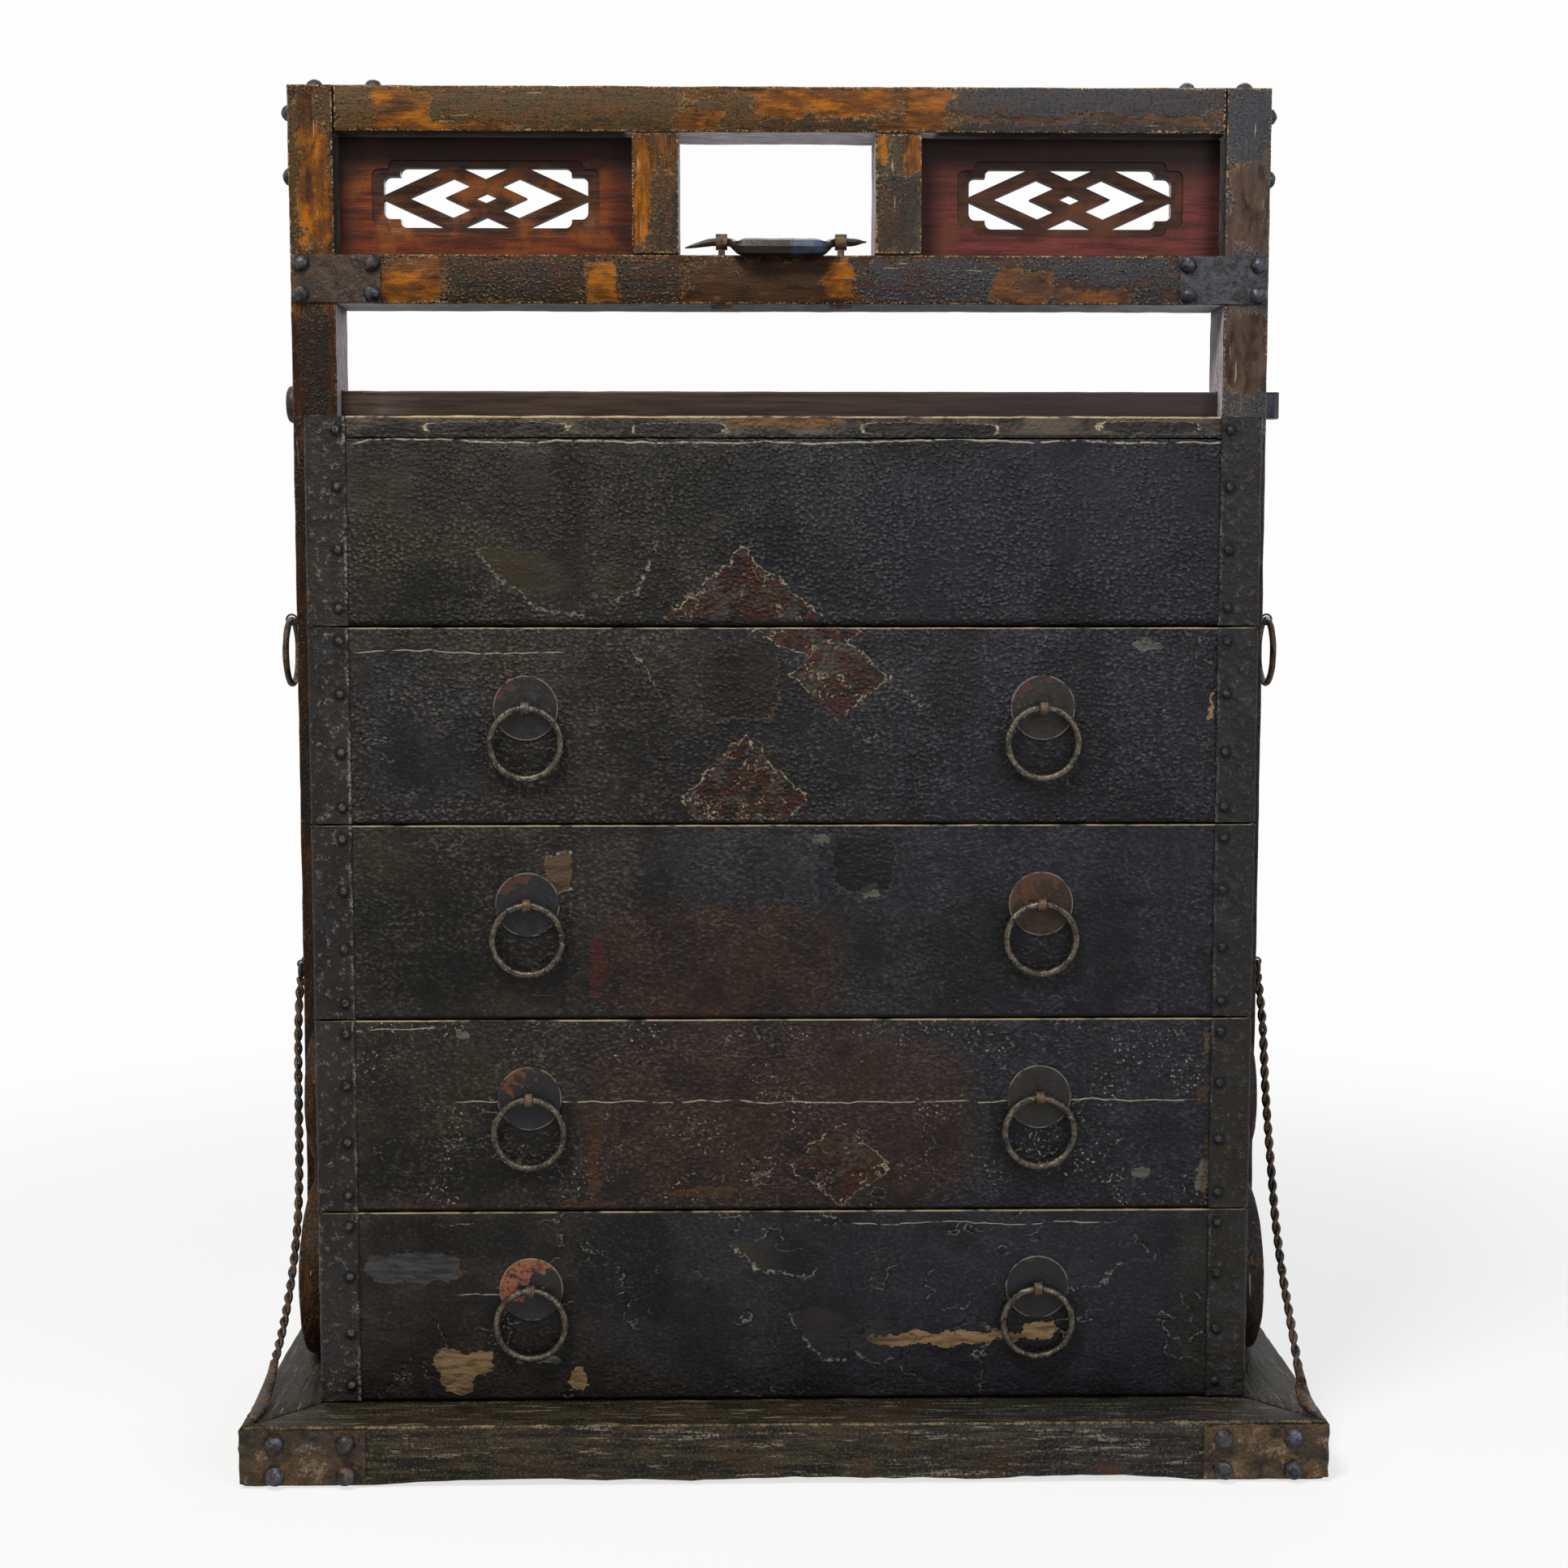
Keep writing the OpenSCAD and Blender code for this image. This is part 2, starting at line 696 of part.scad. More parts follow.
module bail_handle() {
    shoulder = bail_grip_l / 2;
    journal = bail_eye_x - bail_eye_w / 2 - bail_wire_r;
    journal_end = bail_eye_x + bail_eye_w / 2 + 3;
    color("#33333a") translate([0, bail_y, bail_z]) rotate([bail_angle, 0, 0]) {
        for (s = [-1, 1]) {
            translate([s * journal, 0, 0]) rotate([0, s * 90, 0])
                cylinder(h = journal_end - journal, r = bail_wire_r);
            hull() {
                translate([s * journal_end, 0, 0]) sphere(bail_wire_r, $fn = 24);
                translate([s * journal_end, 0, 0]) rotate([0, s < 0 ? -bail_droop : 0, 0])
                    translate([s < 0 ? -bail_tip_left : bail_tip_right, 0, 0]) sphere(0.8, $fn = 24);
            }
            hull() {
                translate([s * journal, 0, 0]) sphere(bail_wire_r, $fn = 24);
                translate([s * (shoulder + bail_taper / 2), -bail_reach, 0])
                    sphere(bail_wire_r + 1, $fn = 24);
            }
            translate([s * shoulder, -bail_reach, 0]) rotate([0, s * 90, 0])
                cylinder(h = bail_taper, r1 = bail_grip_r, r2 = bail_wire_r + 1);
        }
        translate([-shoulder, -bail_reach, 0]) rotate([0, 90, 0])
            cylinder(h = bail_grip_l, r = bail_grip_r);
    }
}

// Locking bar: a square bar with a round head at the left and a chamfered tail at the right

module locking_bar() {
    x0 = -post_out - bar_play;
    x1 = post_out + bar_tail;
    z = bar_z + bar_h / 2;
    color("#2c241d") translate([0, bar_y, 0]) {
        intersection() {
            beam_x(x0, x1, 0, bar_z, bar_t, bar_h);
            translate([0, 0, bar_z - 1]) linear_extrude(bar_h + 2) polygon([
                [x0, -bar_t / 2], [x1 - bar_chamfer, -bar_t / 2], [x1, bar_chamfer - bar_t / 2],
                [x1, bar_t / 2 - bar_chamfer], [x1 - bar_chamfer, bar_t / 2], [x0, bar_t / 2]
            ]);
        }
        translate([x0, 0, z]) rotate([0, -90, 0]) rotate_extrude() intersection() {
            translate([0, -bar_head_r])
                soft_rect(2 * bar_head_r, 2 * (bar_head_r + bar_head_t), bar_head_round);
            square([bar_head_r, bar_head_t]);
        }
    }
}

// Boxes

module box_outline(grow) {
    soft_rect(box_w + 2 * grow, box_d + 2 * grow, box_corner_r + grow);
}

// Four boards, glued at the corners under the lacquer
module box_walls(z, h) {
    translate([0, 0, z]) linear_extrude(h) difference() {
        box_outline(0);
        square([box_w - 2 * board_t, box_d - 2 * board_t], center = true);
    }
}

// Thin strips folded round the four upright corners
module box_corner_strips(z, h) {
    translate([0, 0, z + strip_reveal]) linear_extrude(h - 2 * strip_reveal)
        for (x = [-1, 1], y = [-1, 1]) intersection() {
            difference() {
                box_outline(strip_t);
                box_outline(0);
            }
            translate([x * box_w / 2, y * box_d / 2]) square(2 * strip_w, center = true);
        }
}

// The shank of a strap eye, grown by the play where it cuts its bore right through the board
module ring_shank(s, n, play) {
    x = s * ring_x;
    w = eye_w / 2 + play;
    h = shank_h / 2 + play;
    end = box_front + board_t + (play > 0 ? 1 : 0);
    block(x - w, x + w, ring_y + eye_hole + eye_t / 4, end, ring_z(n) - h, ring_z(n) + h);
}

module tray_walls(n) {
    color("#17171b") difference() {
        box_walls(tray_z(n), tray_h);
        for (s = [-1, 1]) ring_shank(s, n, shank_play);
    }
}

module tray_floor(n) {
    w = box_w / 2 - board_t;
    d = box_d / 2 - board_t;
    color("#3a2f26") block(-w, w, -d, d, tray_z(n), tray_z(n) + floor_t);
}

module tray_corner_strips(n) {
    color("#26221f") box_corner_strips(tray_z(n), tray_h);
}

// For each ring a round backplate and a strap eye, whose shank is clenched inside the board
module tray_ring_mounts(n) {
    color("#3c332c") for (s = [-1, 1]) {
        x = s * ring_x;
        difference() {
            translate([x, box_front, ring_z(n)]) rotate([90, 0, 0])
                cylinder(h = plate_t, r = plate_r);
            ring_shank(s, n, shank_play);
        }
        difference() {
            union() {
                translate([x, ring_y, ring_z(n)]) rotate([0, 90, 0])
                    cylinder(h = eye_w, r = eye_r, center = true);
                ring_shank(s, n, 0);
                block(x - eye_w / 2, x + eye_w / 2, box_front + board_t,
                    box_front + board_t + clench_t, ring_z(n) - clench_h, ring_z(n) + clench_h);
            }
            translate([x, ring_y, ring_z(n)]) rotate([0, 90, 0])
                cylinder(h = eye_w + 2, r = eye_hole, center = true);
        }
    }
}

module tray_ring(n, side) {
    color("#33302c") translate([side * ring_x, ring_y, ring_z(n) - ring_r])
        rotate([90, 0, 0]) torus(ring_r, ring_wire_r);
}

module lid_top() {
    color("#17171b") translate([0, 0, lid_top_z - lid_board_t])
        linear_extrude(lid_board_t) box_outline(0);
}

module lid_walls() {
    color("#17171b") box_walls(lid_z, lid_h - lid_board_t);
}

module lid_corner_strips() {
    color("#26221f") box_corner_strips(lid_z, lid_h);
}

// Wire stays: two strands twisted together, swept along the route as one two-lobed body

// A point of the smooth curve through a route, at t from 0 to 1 after point i
function route_point(route, i, t) = let (
    last = len(route) - 1,
    a = route[max(i - 1, 0)],
    b = route[i],
    c = route[min(i + 1, last)],
    d = route[min(i + 2, last)]
) 0.5 * (2 * b + (c - a) * t + (2 * a - 5 * b + 4 * c - d) * t * t
    + (3 * b - a - 3 * c + d) * t * t * t);

function dense(route) = concat(
    [for (i = [0:len(route) - 2], k = [0:route_steps - 1]) route_point(route, i, k / route_steps)],
    [route[len(route) - 1]]
);

function lengths(pts, i = 0, sum = 0, out = []) = i == len(pts) ? out
    : let (now = i == 0 ? 0 : sum + norm(pts[i] - pts[i - 1]))
        lengths(pts, i + 1, now, concat(out, [now]));

// The place and the heading of a stay at a length along it
function place_at(pts, run, s, lo = 0) = let (hi = min(lo + 1, len(pts) - 1))
    (run[hi] >= s || hi == len(pts) - 1)
        ? let (f = (s - run[hi - 1]) / (run[hi] - run[hi - 1]), a = pts[hi - 1], b = pts[hi])
            [a + f * (b - a), (b - a) / norm(b - a)]
        : place_at(pts, run, s, lo + 1);

function lobe_r(angle) = (stay_r + stay_waist) / 2 + (stay_r - stay_waist) / 2 * cos(2 * angle);

// The outline of a stay at a length along it
function stay_ring(pts, run, s) = let (
    place = place_at(pts, run, s),
    at = place[0],
    head = place[1],
    turn = 360 * s / stay_pitch
) [for (j = [0:stay_sides - 1]) let (
    angle = 360 * j / stay_sides,
    r = lobe_r(angle),
    across = r * cos(angle + turn),
    beside = r * sin(angle + turn)
) [across, -(at[0] - beside * head[1]), at[1] + beside * head[0]]];

module twisted_pair(side) {
    pts = dense(stay_route(side));
    run = lengths(pts);
    total = run[len(run) - 1];
    rings = round(total / stay_pitch * stay_rings_per_turn);
    points = [for (k = [0:rings]) each stay_ring(pts, run, k / rings * total)];
    n = stay_sides;
    sides = [for (k = [0:rings - 1], j = [0:n - 1]) each [
        [k * n + j, (k + 1) * n + j, k * n + (j + 1) % n],
        [k * n + (j + 1) % n, (k + 1) * n + j, (k + 1) * n + (j + 1) % n]
    ]];
    foot = [for (j = [0:n - 1]) j];
    head = [for (j = [n - 1:-1:0]) rings * n + j];
    polyhedron(points, concat(sides, [foot, head]));
}

// The leaf that the smith beat from the end of a stay, nailed flat to the corner of the base
module stay_foot(side) {
    route = stay_route(side);
    end = route[len(route) - 1];
    hull() {
        translate([0, -end[0], end[1]]) sphere(stay_r, $fn = 24);
        translate([0, stay_foot_l - stay_foot_y, base_h]) cylinder(h = stay_foot_t, r = stay_foot_r);
    }
    hull() {
        translate([0, stay_foot_l - stay_foot_y, base_h]) cylinder(h = stay_foot_t, r = stay_foot_r);
        translate([0, -stay_foot_y, base_h]) cylinder(h = stay_foot_t, r = stay_tip_r);
    }
}

module stay(side, end) {
    color("#33291c") mirror([side < 0 ? 1 : 0, 0, 0]) mirror([0, end > 0 ? 1 : 0, 0])
        translate([stay_x, 0, 0]) {
            twisted_pair(side);
            translate([0, -stay_eye_y, stay_eye_z - stay_loop_r]) rotate([0, 90, 0])
                torus(stay_loop_r, stay_loop_wire);
            stay_foot(side);
        }
}

base_cross_rail(-1);  // base_front_rail
base_cross_rail(1);  // base_rear_rail
base_side_rail(-1);  // base_left_rail
base_side_rail(1);  // base_right_rail
base_corner_straps();
base_nails();
top_rail();
lower_rail();
top_corner_straps();
joint_plates();
frame_nails();
stay_eyes();
side_ring_eyes();
bail_eyes();
bail_handle();
for (s = SIDES) {
    upright(side_of(s));
    strut(side_of(s));
    panel(side_of(s));
    side_ring(side_of(s));
    for (e = ENDS) {
        spandrel(side_of(s), end_of(e));
        stay(side_of(s), end_of(e));
    }
}
locking_bar();
lid_top();
lid_walls();
lid_corner_strips();
for (n = TRAYS) {
    tray_walls(n);
    tray_floor(n);
    tray_corner_strips(n);
    tray_ring_mounts(n);
    for (s = SIDES)
        tray_ring(n, side_of(s));
}
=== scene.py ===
# %% [markdown]
# # A stacked dowry carrier of lacquered wood and wrought iron
# The real object is a heavy base frame, two posts that rise into a yoke with fretwork panels,
# and four trays under a deep lid that stand between the posts. Two people carried it on a pole
# through the opening at the top. This file dresses the imported model: it loads every part in
# its place, puts a weathered piece over each and sets it on the body it rides on, and mixes the
# lacquer, the bare wood and the forged iron from nodes.

# %% Load the imported model
import math
import random
from contextlib import contextmanager

import bmesh
import bpy
from mathutils import Matrix, Vector


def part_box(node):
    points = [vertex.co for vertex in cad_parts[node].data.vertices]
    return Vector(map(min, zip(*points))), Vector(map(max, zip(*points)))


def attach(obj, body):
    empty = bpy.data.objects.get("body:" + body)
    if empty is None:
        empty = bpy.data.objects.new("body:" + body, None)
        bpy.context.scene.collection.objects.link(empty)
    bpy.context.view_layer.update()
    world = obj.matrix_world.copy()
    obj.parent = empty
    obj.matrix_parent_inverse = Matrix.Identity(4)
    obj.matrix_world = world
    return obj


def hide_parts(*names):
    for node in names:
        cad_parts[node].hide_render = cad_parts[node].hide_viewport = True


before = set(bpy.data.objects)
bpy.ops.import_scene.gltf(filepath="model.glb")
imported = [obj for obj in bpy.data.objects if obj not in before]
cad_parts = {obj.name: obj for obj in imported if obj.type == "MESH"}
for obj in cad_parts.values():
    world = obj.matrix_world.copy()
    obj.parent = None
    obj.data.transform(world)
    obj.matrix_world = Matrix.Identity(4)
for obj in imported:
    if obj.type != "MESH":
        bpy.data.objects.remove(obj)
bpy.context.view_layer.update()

MM = 0.001
random.seed(7)

# %% [markdown]
# ## Working by hand, from a script
# An operator acts on whatever is selected, and loading leaves everything selected. So each
# step first clears the selection, then picks faces or edges by where they are.

# %% Selecting things
def only(*objects):
    """Select just these objects; the last one becomes the active one."""
    if bpy.context.object and bpy.context.object.mode != "OBJECT":
        bpy.ops.object.mode_set(mode="OBJECT")
    bpy.ops.object.select_all(action="DESELECT")
    for obj in objects:
        obj.select_set(True)
        bpy.context.view_layer.objects.active = obj


@contextmanager
def picked(obj, kind="FACE", wanted=lambda part: True):
    """Edit mode on one object, with just the wanted VERT, EDGE or FACE elements selected."""
    only(obj)
    bpy.ops.object.mode_set(mode="EDIT")
    bpy.ops.mesh.select_mode(type=kind)
    bpy.ops.mesh.select_all(action="DESELECT")
    mesh = bmesh.from_edit_mesh(obj.data)
    for part in {"VERT": mesh.verts, "EDGE": mesh.edges, "FACE": mesh.faces}[kind]:
        if wanted(part):
            part.select_set(True)
    bmesh.update_edit_mesh(obj.data)
    yield
    bpy.ops.object.mode_set(mode="OBJECT")


def middle(part):
    """The middle of an edge or a face."""
    points = [v.co for v in part.verts]
    return sum(points, Vector()) / len(points)


def span(edge, axis=2):
    """How far an edge reaches along an axis."""
    return abs(edge.verts[0].co[axis] - edge.verts[1].co[axis])

# %% Starting shapes
def added(name, operator, **settings):
    """The shape that an operator adds, with its place and turn in its mesh."""
    only()
    operator(**settings)
    obj = bpy.context.object
    obj.name = obj.data.name = name
    bpy.ops.object.transform_apply(location=True, rotation=True, scale=True)
    return obj


def block(name, low, high):
    """A block between two corners."""
    return added(name, bpy.ops.mesh.primitive_cube_add, size=1,
                 location=[(a + b) / 2 for a, b in zip(low, high)],
                 scale=[b - a for a, b in zip(low, high)])


def traced(name, node):
    """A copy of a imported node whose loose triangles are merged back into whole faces."""
    obj = bpy.data.objects.new(name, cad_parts[node].data.copy())
    obj.data.name = name
    bpy.context.scene.collection.objects.link(obj)
    with picked(obj, "VERT"):
        bpy.ops.mesh.remove_doubles(threshold=1e-5)
        bpy.ops.mesh.dissolve_limited(angle_limit=math.radians(1), delimit={"NORMAL"})
        bpy.ops.mesh.normals_make_consistent(inside=False)
    return obj


def twin(obj, name, mirror):
    """A second copy with its own mesh, mirrored about the middle."""
    other = obj.copy()
    other.data = obj.data.copy()
    other.name = other.data.name = name
    bpy.context.scene.collection.objects.link(other)
    other.data.transform(Matrix.Diagonal((*mirror, 1)))
    if mirror[0] * mirror[1] < 0:
        other.data.flip_normals()
    return other


def joined(name, pieces):
    """Several small pieces as one object."""
    only(*pieces)
    bpy.ops.object.join()
    obj = bpy.context.object
    obj.name = obj.data.name = name
    return obj


def four_corners(name, first):
    """A piece at the front left corner and its mirror images at the others, as one object."""
    return joined(name, [first] + [twin(first, f"{name}_{x}_{y}", (x, y, 1))
                                   for x, y in ((-1, 1), (1, -1), (-1, -1))])

# %% Weathering
def modify(obj, kind, **settings):
    """Add a modifier, set it and apply it."""
    only(obj)
    change = obj.modifiers.new(kind.title(), kind)
    for key, value in settings.items():
        setattr(change, key, value)
    bpy.ops.object.modifier_apply(modifier=change.name)


def soften(obj, width, segments=2, angle=40):
    """Round off every hard edge."""
    modify(obj, "BEVEL", width=width, segments=segments, limit_method="ANGLE",
           angle_limit=math.radians(angle), harden_normals=False)


def cut(obj, axis, places):
    """Cut a piece right across at each of these places along an axis."""
    with picked(obj):
        for place in places:
            bpy.ops.mesh.select_all(action="SELECT")
            bpy.ops.mesh.bisect(plane_co=[place * (i == axis) for i in range(3)],
                                plane_no=[float(i == axis) for i in range(3)])


def slice_up(obj, axis, step):
    """Cut a piece across at even steps, so that its long edges can wander."""
    along = [v.co[axis] for v in obj.data.vertices]
    start, reach = min(along), max(along) - min(along)
    count = max(2, round(reach / step))
    cut(obj, axis, [start + reach * i / count for i in range(1, count)])


def weather(obj, depth, lump, level=1.0):
    """Wear the surface back by up to depth, in lumps of about this size."""
    texture = bpy.data.textures.new(obj.name + "_wear", "CLOUDS")
    texture.noise_scale = lump
    texture.noise_depth = 2
    modify(obj, "DISPLACE", texture=texture, strength=depth, mid_level=level,
           texture_coords="LOCAL")


def finished(obj, body, node, material=None, angle=35):
    """Shade a piece, give it its finish, put it on the body it rides on, and hide the imported part it
    stands in for.
    """
    only(obj)
    bpy.ops.object.shade_smooth_by_angle(angle=math.radians(angle))
    if material:
        obj.data.materials.clear()
        obj.data.materials.append(material)
    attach(obj, body)
    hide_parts(node)


# %% [markdown]
# ## Sums in place of wires
# A finish is worked out from where a point lies: how near it is to an edge, which way the
# grain runs, whether an old scar lies there. Written as sums these stay readable, so a small
# class lets a node's output be added, multiplied and compared like a number.

# %% Node sums
class Plug:
    """A node's output that can be used in a sum."""

    def __init__(self, nodes, socket):
        self.nodes, self.socket = nodes, socket

    def sum(self, operation, a, b=0.0):
        return self.nodes.node("ShaderNodeMath", {0: a, 1: b}, operation=operation)

    def __add__(self, other): return self.sum("ADD", self, other)
    def __radd__(self, other): return self.sum("ADD", other, self)
    def __sub__(self, other): return self.sum("SUBTRACT", self, other)
    def __rsub__(self, other): return self.sum("SUBTRACT", other, self)
    def __mul__(self, other): return self.sum("MULTIPLY", self, other)
    def __rmul__(self, other): return self.sum("MULTIPLY", other, self)
    def __truediv__(self, other): return self.sum("DIVIDE", self, other)
    def __abs__(self): return self.sum("ABSOLUTE", self)
    def low(self, other): return self.sum("MINIMUM", self, other)
    def high(self, other): return self.sum("MAXIMUM", self, other)

    def soft(self, start, end):
        """0 up to start, 1 from end on, smooth between; start may be the larger."""
        if start > end:
            return 1 - self.soft(end, start)
        return self.nodes.node("ShaderNodeMapRange", {"Value": self, "From Min": start, "From Max": end},
                               interpolation_type="SMOOTHSTEP")


class Nodes:
    """The nodes of a material or of the world."""

    def __init__(self, owner):
        owner.use_nodes = True
        self.tree = owner.node_tree
        self.tree.nodes.clear()

    def node(self, kind, values=None, out=0, **settings):
        """Add any node: its settings first, then the numbers or plugs of its sockets."""
        new = self.tree.nodes.new(kind)
        for key, value in settings.items():
            setattr(new, key, value)
        for key, value in (values or {}).items():
            if isinstance(value, Plug):
                self.tree.links.new(value.socket, new.inputs[key])
            else:
                new.inputs[key].default_value = value
        return Plug(self, new.outputs[out])

    def show(self, shader, kind="ShaderNodeOutputMaterial"):
        """Join a shader to the output."""
        self.tree.links.new(shader.socket, self.tree.nodes.new(kind).inputs["Surface"])


def ink(code, dim=1.0):
    """A colour written as it looks on screen, as the linear numbers that a node takes."""
    parts = [int(code[i:i + 2], 16) / 255 for i in (1, 3, 5)]
    linear = [c / 12.92 if c <= 0.04045 else ((c + 0.055) / 1.055) ** 2.4 for c in parts]
    return (*[c * dim for c in linear], 1.0)


class Finish(Nodes):
    """One material: noises that share a shift, and a colour that is laid on coat by coat."""

    def __init__(self, name, shift=0.0):
        self.material = bpy.data.materials.new(name)
        super().__init__(self.material)
        self.shift, self.colour = shift, None
        self.place = self.node("ShaderNodeTexCoord", out="Object")
        split = self.node("ShaderNodeSeparateXYZ", {0: self.place}).socket.node
        self.x, self.y, self.z = [Plug(self, output) for output in split.outputs]

    def mix(self, amount, first, second):
        """The first colour, going over to the second as amount goes from 0 to 1."""
        first, second = [ink(c) if isinstance(c, str) else c for c in (first, second)]
        return self.node("ShaderNodeMix", {0: amount, 6: first, 7: second}, out=2, data_type="RGBA")

    def lay(self, amount, colour):
        """Lay a colour over what is there already."""
        self.colour = self.mix(amount, self.colour, colour)

    def stretched(self, size, shift, stretch):
        """The inputs of a noise in lumps of this size, drawn out along an axis."""
        shift = self.shift + shift
        return {"Vector": self.node("ShaderNodeMapping", {
            "Vector": self.place, "Location": (shift, shift * 1.7, shift * 0.6),
            "Scale": [1 / (size * s) for s in stretch]}), "Scale": 1.0}

    def cloud(self, size, shift=0.0, stretch=(1, 1, 1), detail=3.0, rough=0.55):
        """Soft noise from 0 to 1, in lumps of about this size in metres."""
        return self.node("ShaderNodeTexNoise", {
            **self.stretched(size, shift, stretch), "Detail": detail, "Roughness": rough})

    def pebbles(self, size, stretch):
        """Distance from the middle of the nearest pebble, 0 to about 1."""
        return self.node("ShaderNodeTexVoronoi", self.stretched(size, 0, stretch), feature="F1")

    def edge(self, low, high):
        """Distance in metres to the nearest edge of a block, for a point on its surface."""
        a, b, c = [(p - lo).low(hi - p) for p, lo, hi in zip((self.x, self.y, self.z), low, high)]
        return a.low(b).high(a.high(b).low(c))

    def wandering(self, size, reach, shift=0.0):
        """The place along X and Z, pushed about so that a blot drawn there has a torn rim."""
        across = self.x + (self.cloud(size, shift, rough=0.7) - 0.5) * reach
        up = self.z + (self.cloud(size, shift + 7.3, rough=0.7) - 0.5) * reach
        return across, up

    def blots(self, marks, across, up, rim, lozenge=False):
        """1 inside the marks, each a middle and a size in millimetres, or None without marks."""
        found = None
        for x, z, width, height in marks:
            u, v = across - x * MM, up - z * MM
            width, height = width * MM / 2, height * MM / 2
            if lozenge:
                reach = abs(u) / width + abs(v) / height
            else:
                u, v = u / width, v / height
                u, v = u * u, v * v
                reach = u * u + v * v
            one = reach.soft(1 + rim, 1 - rim)
            found = one if found is None else found.high(one)
        return found

    def streak(self, x0, x1, z, width, across, up):
        """A broken thin line along the grain, from x0 to x1 at a height, in millimetres."""
        line = abs(up - z * MM).soft(width * MM, width * MM * 0.4)
        span = across.soft(x0 * MM, x0 * MM + 0.01) * across.soft(x1 * MM, x1 * MM - 0.01)
        return line * span * self.cloud(0.014).soft(0.36, 0.5)

    def surface(self, rough, height, metal=0.0, gloss=0.2):
        """Join the colour, the roughness and the height to the shader."""
        bump = self.node("ShaderNodeBump", {"Strength": 1.0, "Distance": 1.0, "Height": height})
        self.show(self.node("ShaderNodeBsdfPrincipled", {
            "Base Color": self.colour, "Roughness": rough, "Metallic": metal, "Normal": bump,
            "Specular IOR Level": gloss}))
        return self.material

# %% [markdown]
# ## The box lacquer
# The trays and the lid wear a black lacquer over a red-brown ground over pale wood. Age has
# broken it: the arrises have worn through to a thin pale line, pasted papers have left brown
# fields, chips show wood, and the skin has shrunk into fine pebbles. The scars are listed in
# millimetres for each box, and noise tears their outlines.

# %% Scars of each box
# Each scar is a middle and a size, both along X and Z
BOX_MARKS = {
    "lid": {
        "scab": [(-276, 1016, 139, 11), (-100, 1015, 91, 11), (141, 1015, 133, 12), (351, 1017, 98, 11)],
        "gold": [(2, 1022, 109, 7)], "paper": [(-40, 836, 150, 130)],
        "olive": [(-335, 929, 161, 154), (-99, 929, 93, 124)],
        "blue": [(81, 915, 266, 174), (319, 917, 198, 171)],
        "dark": [(-110, 960, 120, 70), (-20, 900, 90, 60), (-330, 870, 90, 40)]},
    "tray_1": {
        "grey": [(350, 809, 28, 9)], "wood": [(413, 750, 5, 30)], "dark": [(-42, 770, 84, 76)],
        "stain": [(-42, 770, 72, 66)],
        "paper": [(22, 826, 116, 62), (52, 780, 96, 84), (-40, 660, 124, 122)],
        "blue": [(-350, 723, 123, 165), (247, 726, 317, 174)], "olive": [(-306, 797, 117, 31)]},
    "tray_2": {
        "chip": [(-219, 588, 24, 40)], "red": [(-183, 499, 14, 60), (-99, 448, 67, 6)],
        "brown": [(-63, 500, 241, 108)], "black": [(79, 595, 56, 54)],
        "grey": [(37, 620, 15, 10), (82, 570, 17, 14)], "blue": [(42, 592, 348, 73), (328, 535, 225, 177)],
        "olive": [(-352, 537, 186, 176)], "dark": [(-300, 590, 120, 60), (-350, 520, 130, 120)]},
    "tray_3": {
        "brown": [(-4, 344, 381, 180)],
        "orange": [(-193, 259, 58, 7), (-344, 258, 60, 5), (-83, 272, 66, 12), (-188, 305, 9, 76),
            (411, 369, 14, 16), (416, 294, 7, 60)],
        "grey": [(-316, 430, 16, 10), (413, 287, 12, 34), (351, 288, 16, 12)],
        "paper": [(56, 298, 100, 88)], "blue": [(295, 343, 218, 184)], "olive": [(-315, 340, 204, 155)],
        "chip": [(413, 419, 6, 24)], "dark": [(-330, 300, 150, 60)]},
    "tray_4": {
        "slate": [(-366, 196, 92, 28)],
        "wood": [(-318, 100, 62, 24), (-322, 84, 34, 30), (-205, 80, 17, 24), (206, 124, 60, 10),
            (252, 129, 36, 20), (137, 122, 110, 11)], "olive": [(424, 155, 72, 178)],
        "grey": [(-243, 101, 40, 8)], "blue": [(100, 162, 564, 168)],
        "dark": [(-330, 225, 150, 40), (-160, 200, 100, 110)]},
}
BOX_LINES = {
    "lid": [(-416, 423, 1002.5, 1.2)],
    "tray_1": [(-415, -209, 803, 0.8)],
    "tray_3": [(-323, 410, 361.5, 0.9), (-422, -337, 434, 0.8)],
    "tray_4": [(-325, -270, 168, 0.8), (60, 330, 239, 0.7)],
}
# Lifted flakes, pointed like leaves: middle, length, width and tilt in degrees
LEAVES = {
    "lid": [(-236, 872, 126, 46, -27), (-156, 882, 80, 44, 46)],
    "tray_1": [(134, 767, 44, 28, -25), (-130, 785, 80, 16, -50)],
    "tray_3": [(250, 395, 60, 30, 10)],
    "tray_4": [(-10, 205, 90, 34, -15), (45, 128, 90, 44, -30), (95, 118, 80, 40, 10),
               (300, 190, 80, 30, 20)],
}
TINTS = {"olive": ("#232115", 0.5, 0.6), "blue": ("#1b1c22", 0.5, 0.5),
         "brown": ("#2b1d15", 0.75, 0.5), "dark": ("#090909", 0.7, 0.7)}
CHIPS = {"slate": ("#3d3d3e", 0.85), "grey": ("#57564c", 0.8), "black": ("#0c0b0c", 0.8),
         "stain": ("#1e1810", 0.75), "scab": ("#1d1b19", 0.85), "gold": ("#6b4520", 0.75),
         "red": ("#421c14", 0.65), "orange": ("#44301d", 0.65), "chip": ("#4a3a2a", 0.9),
         "wood": ("#7a6346", 0.97)}
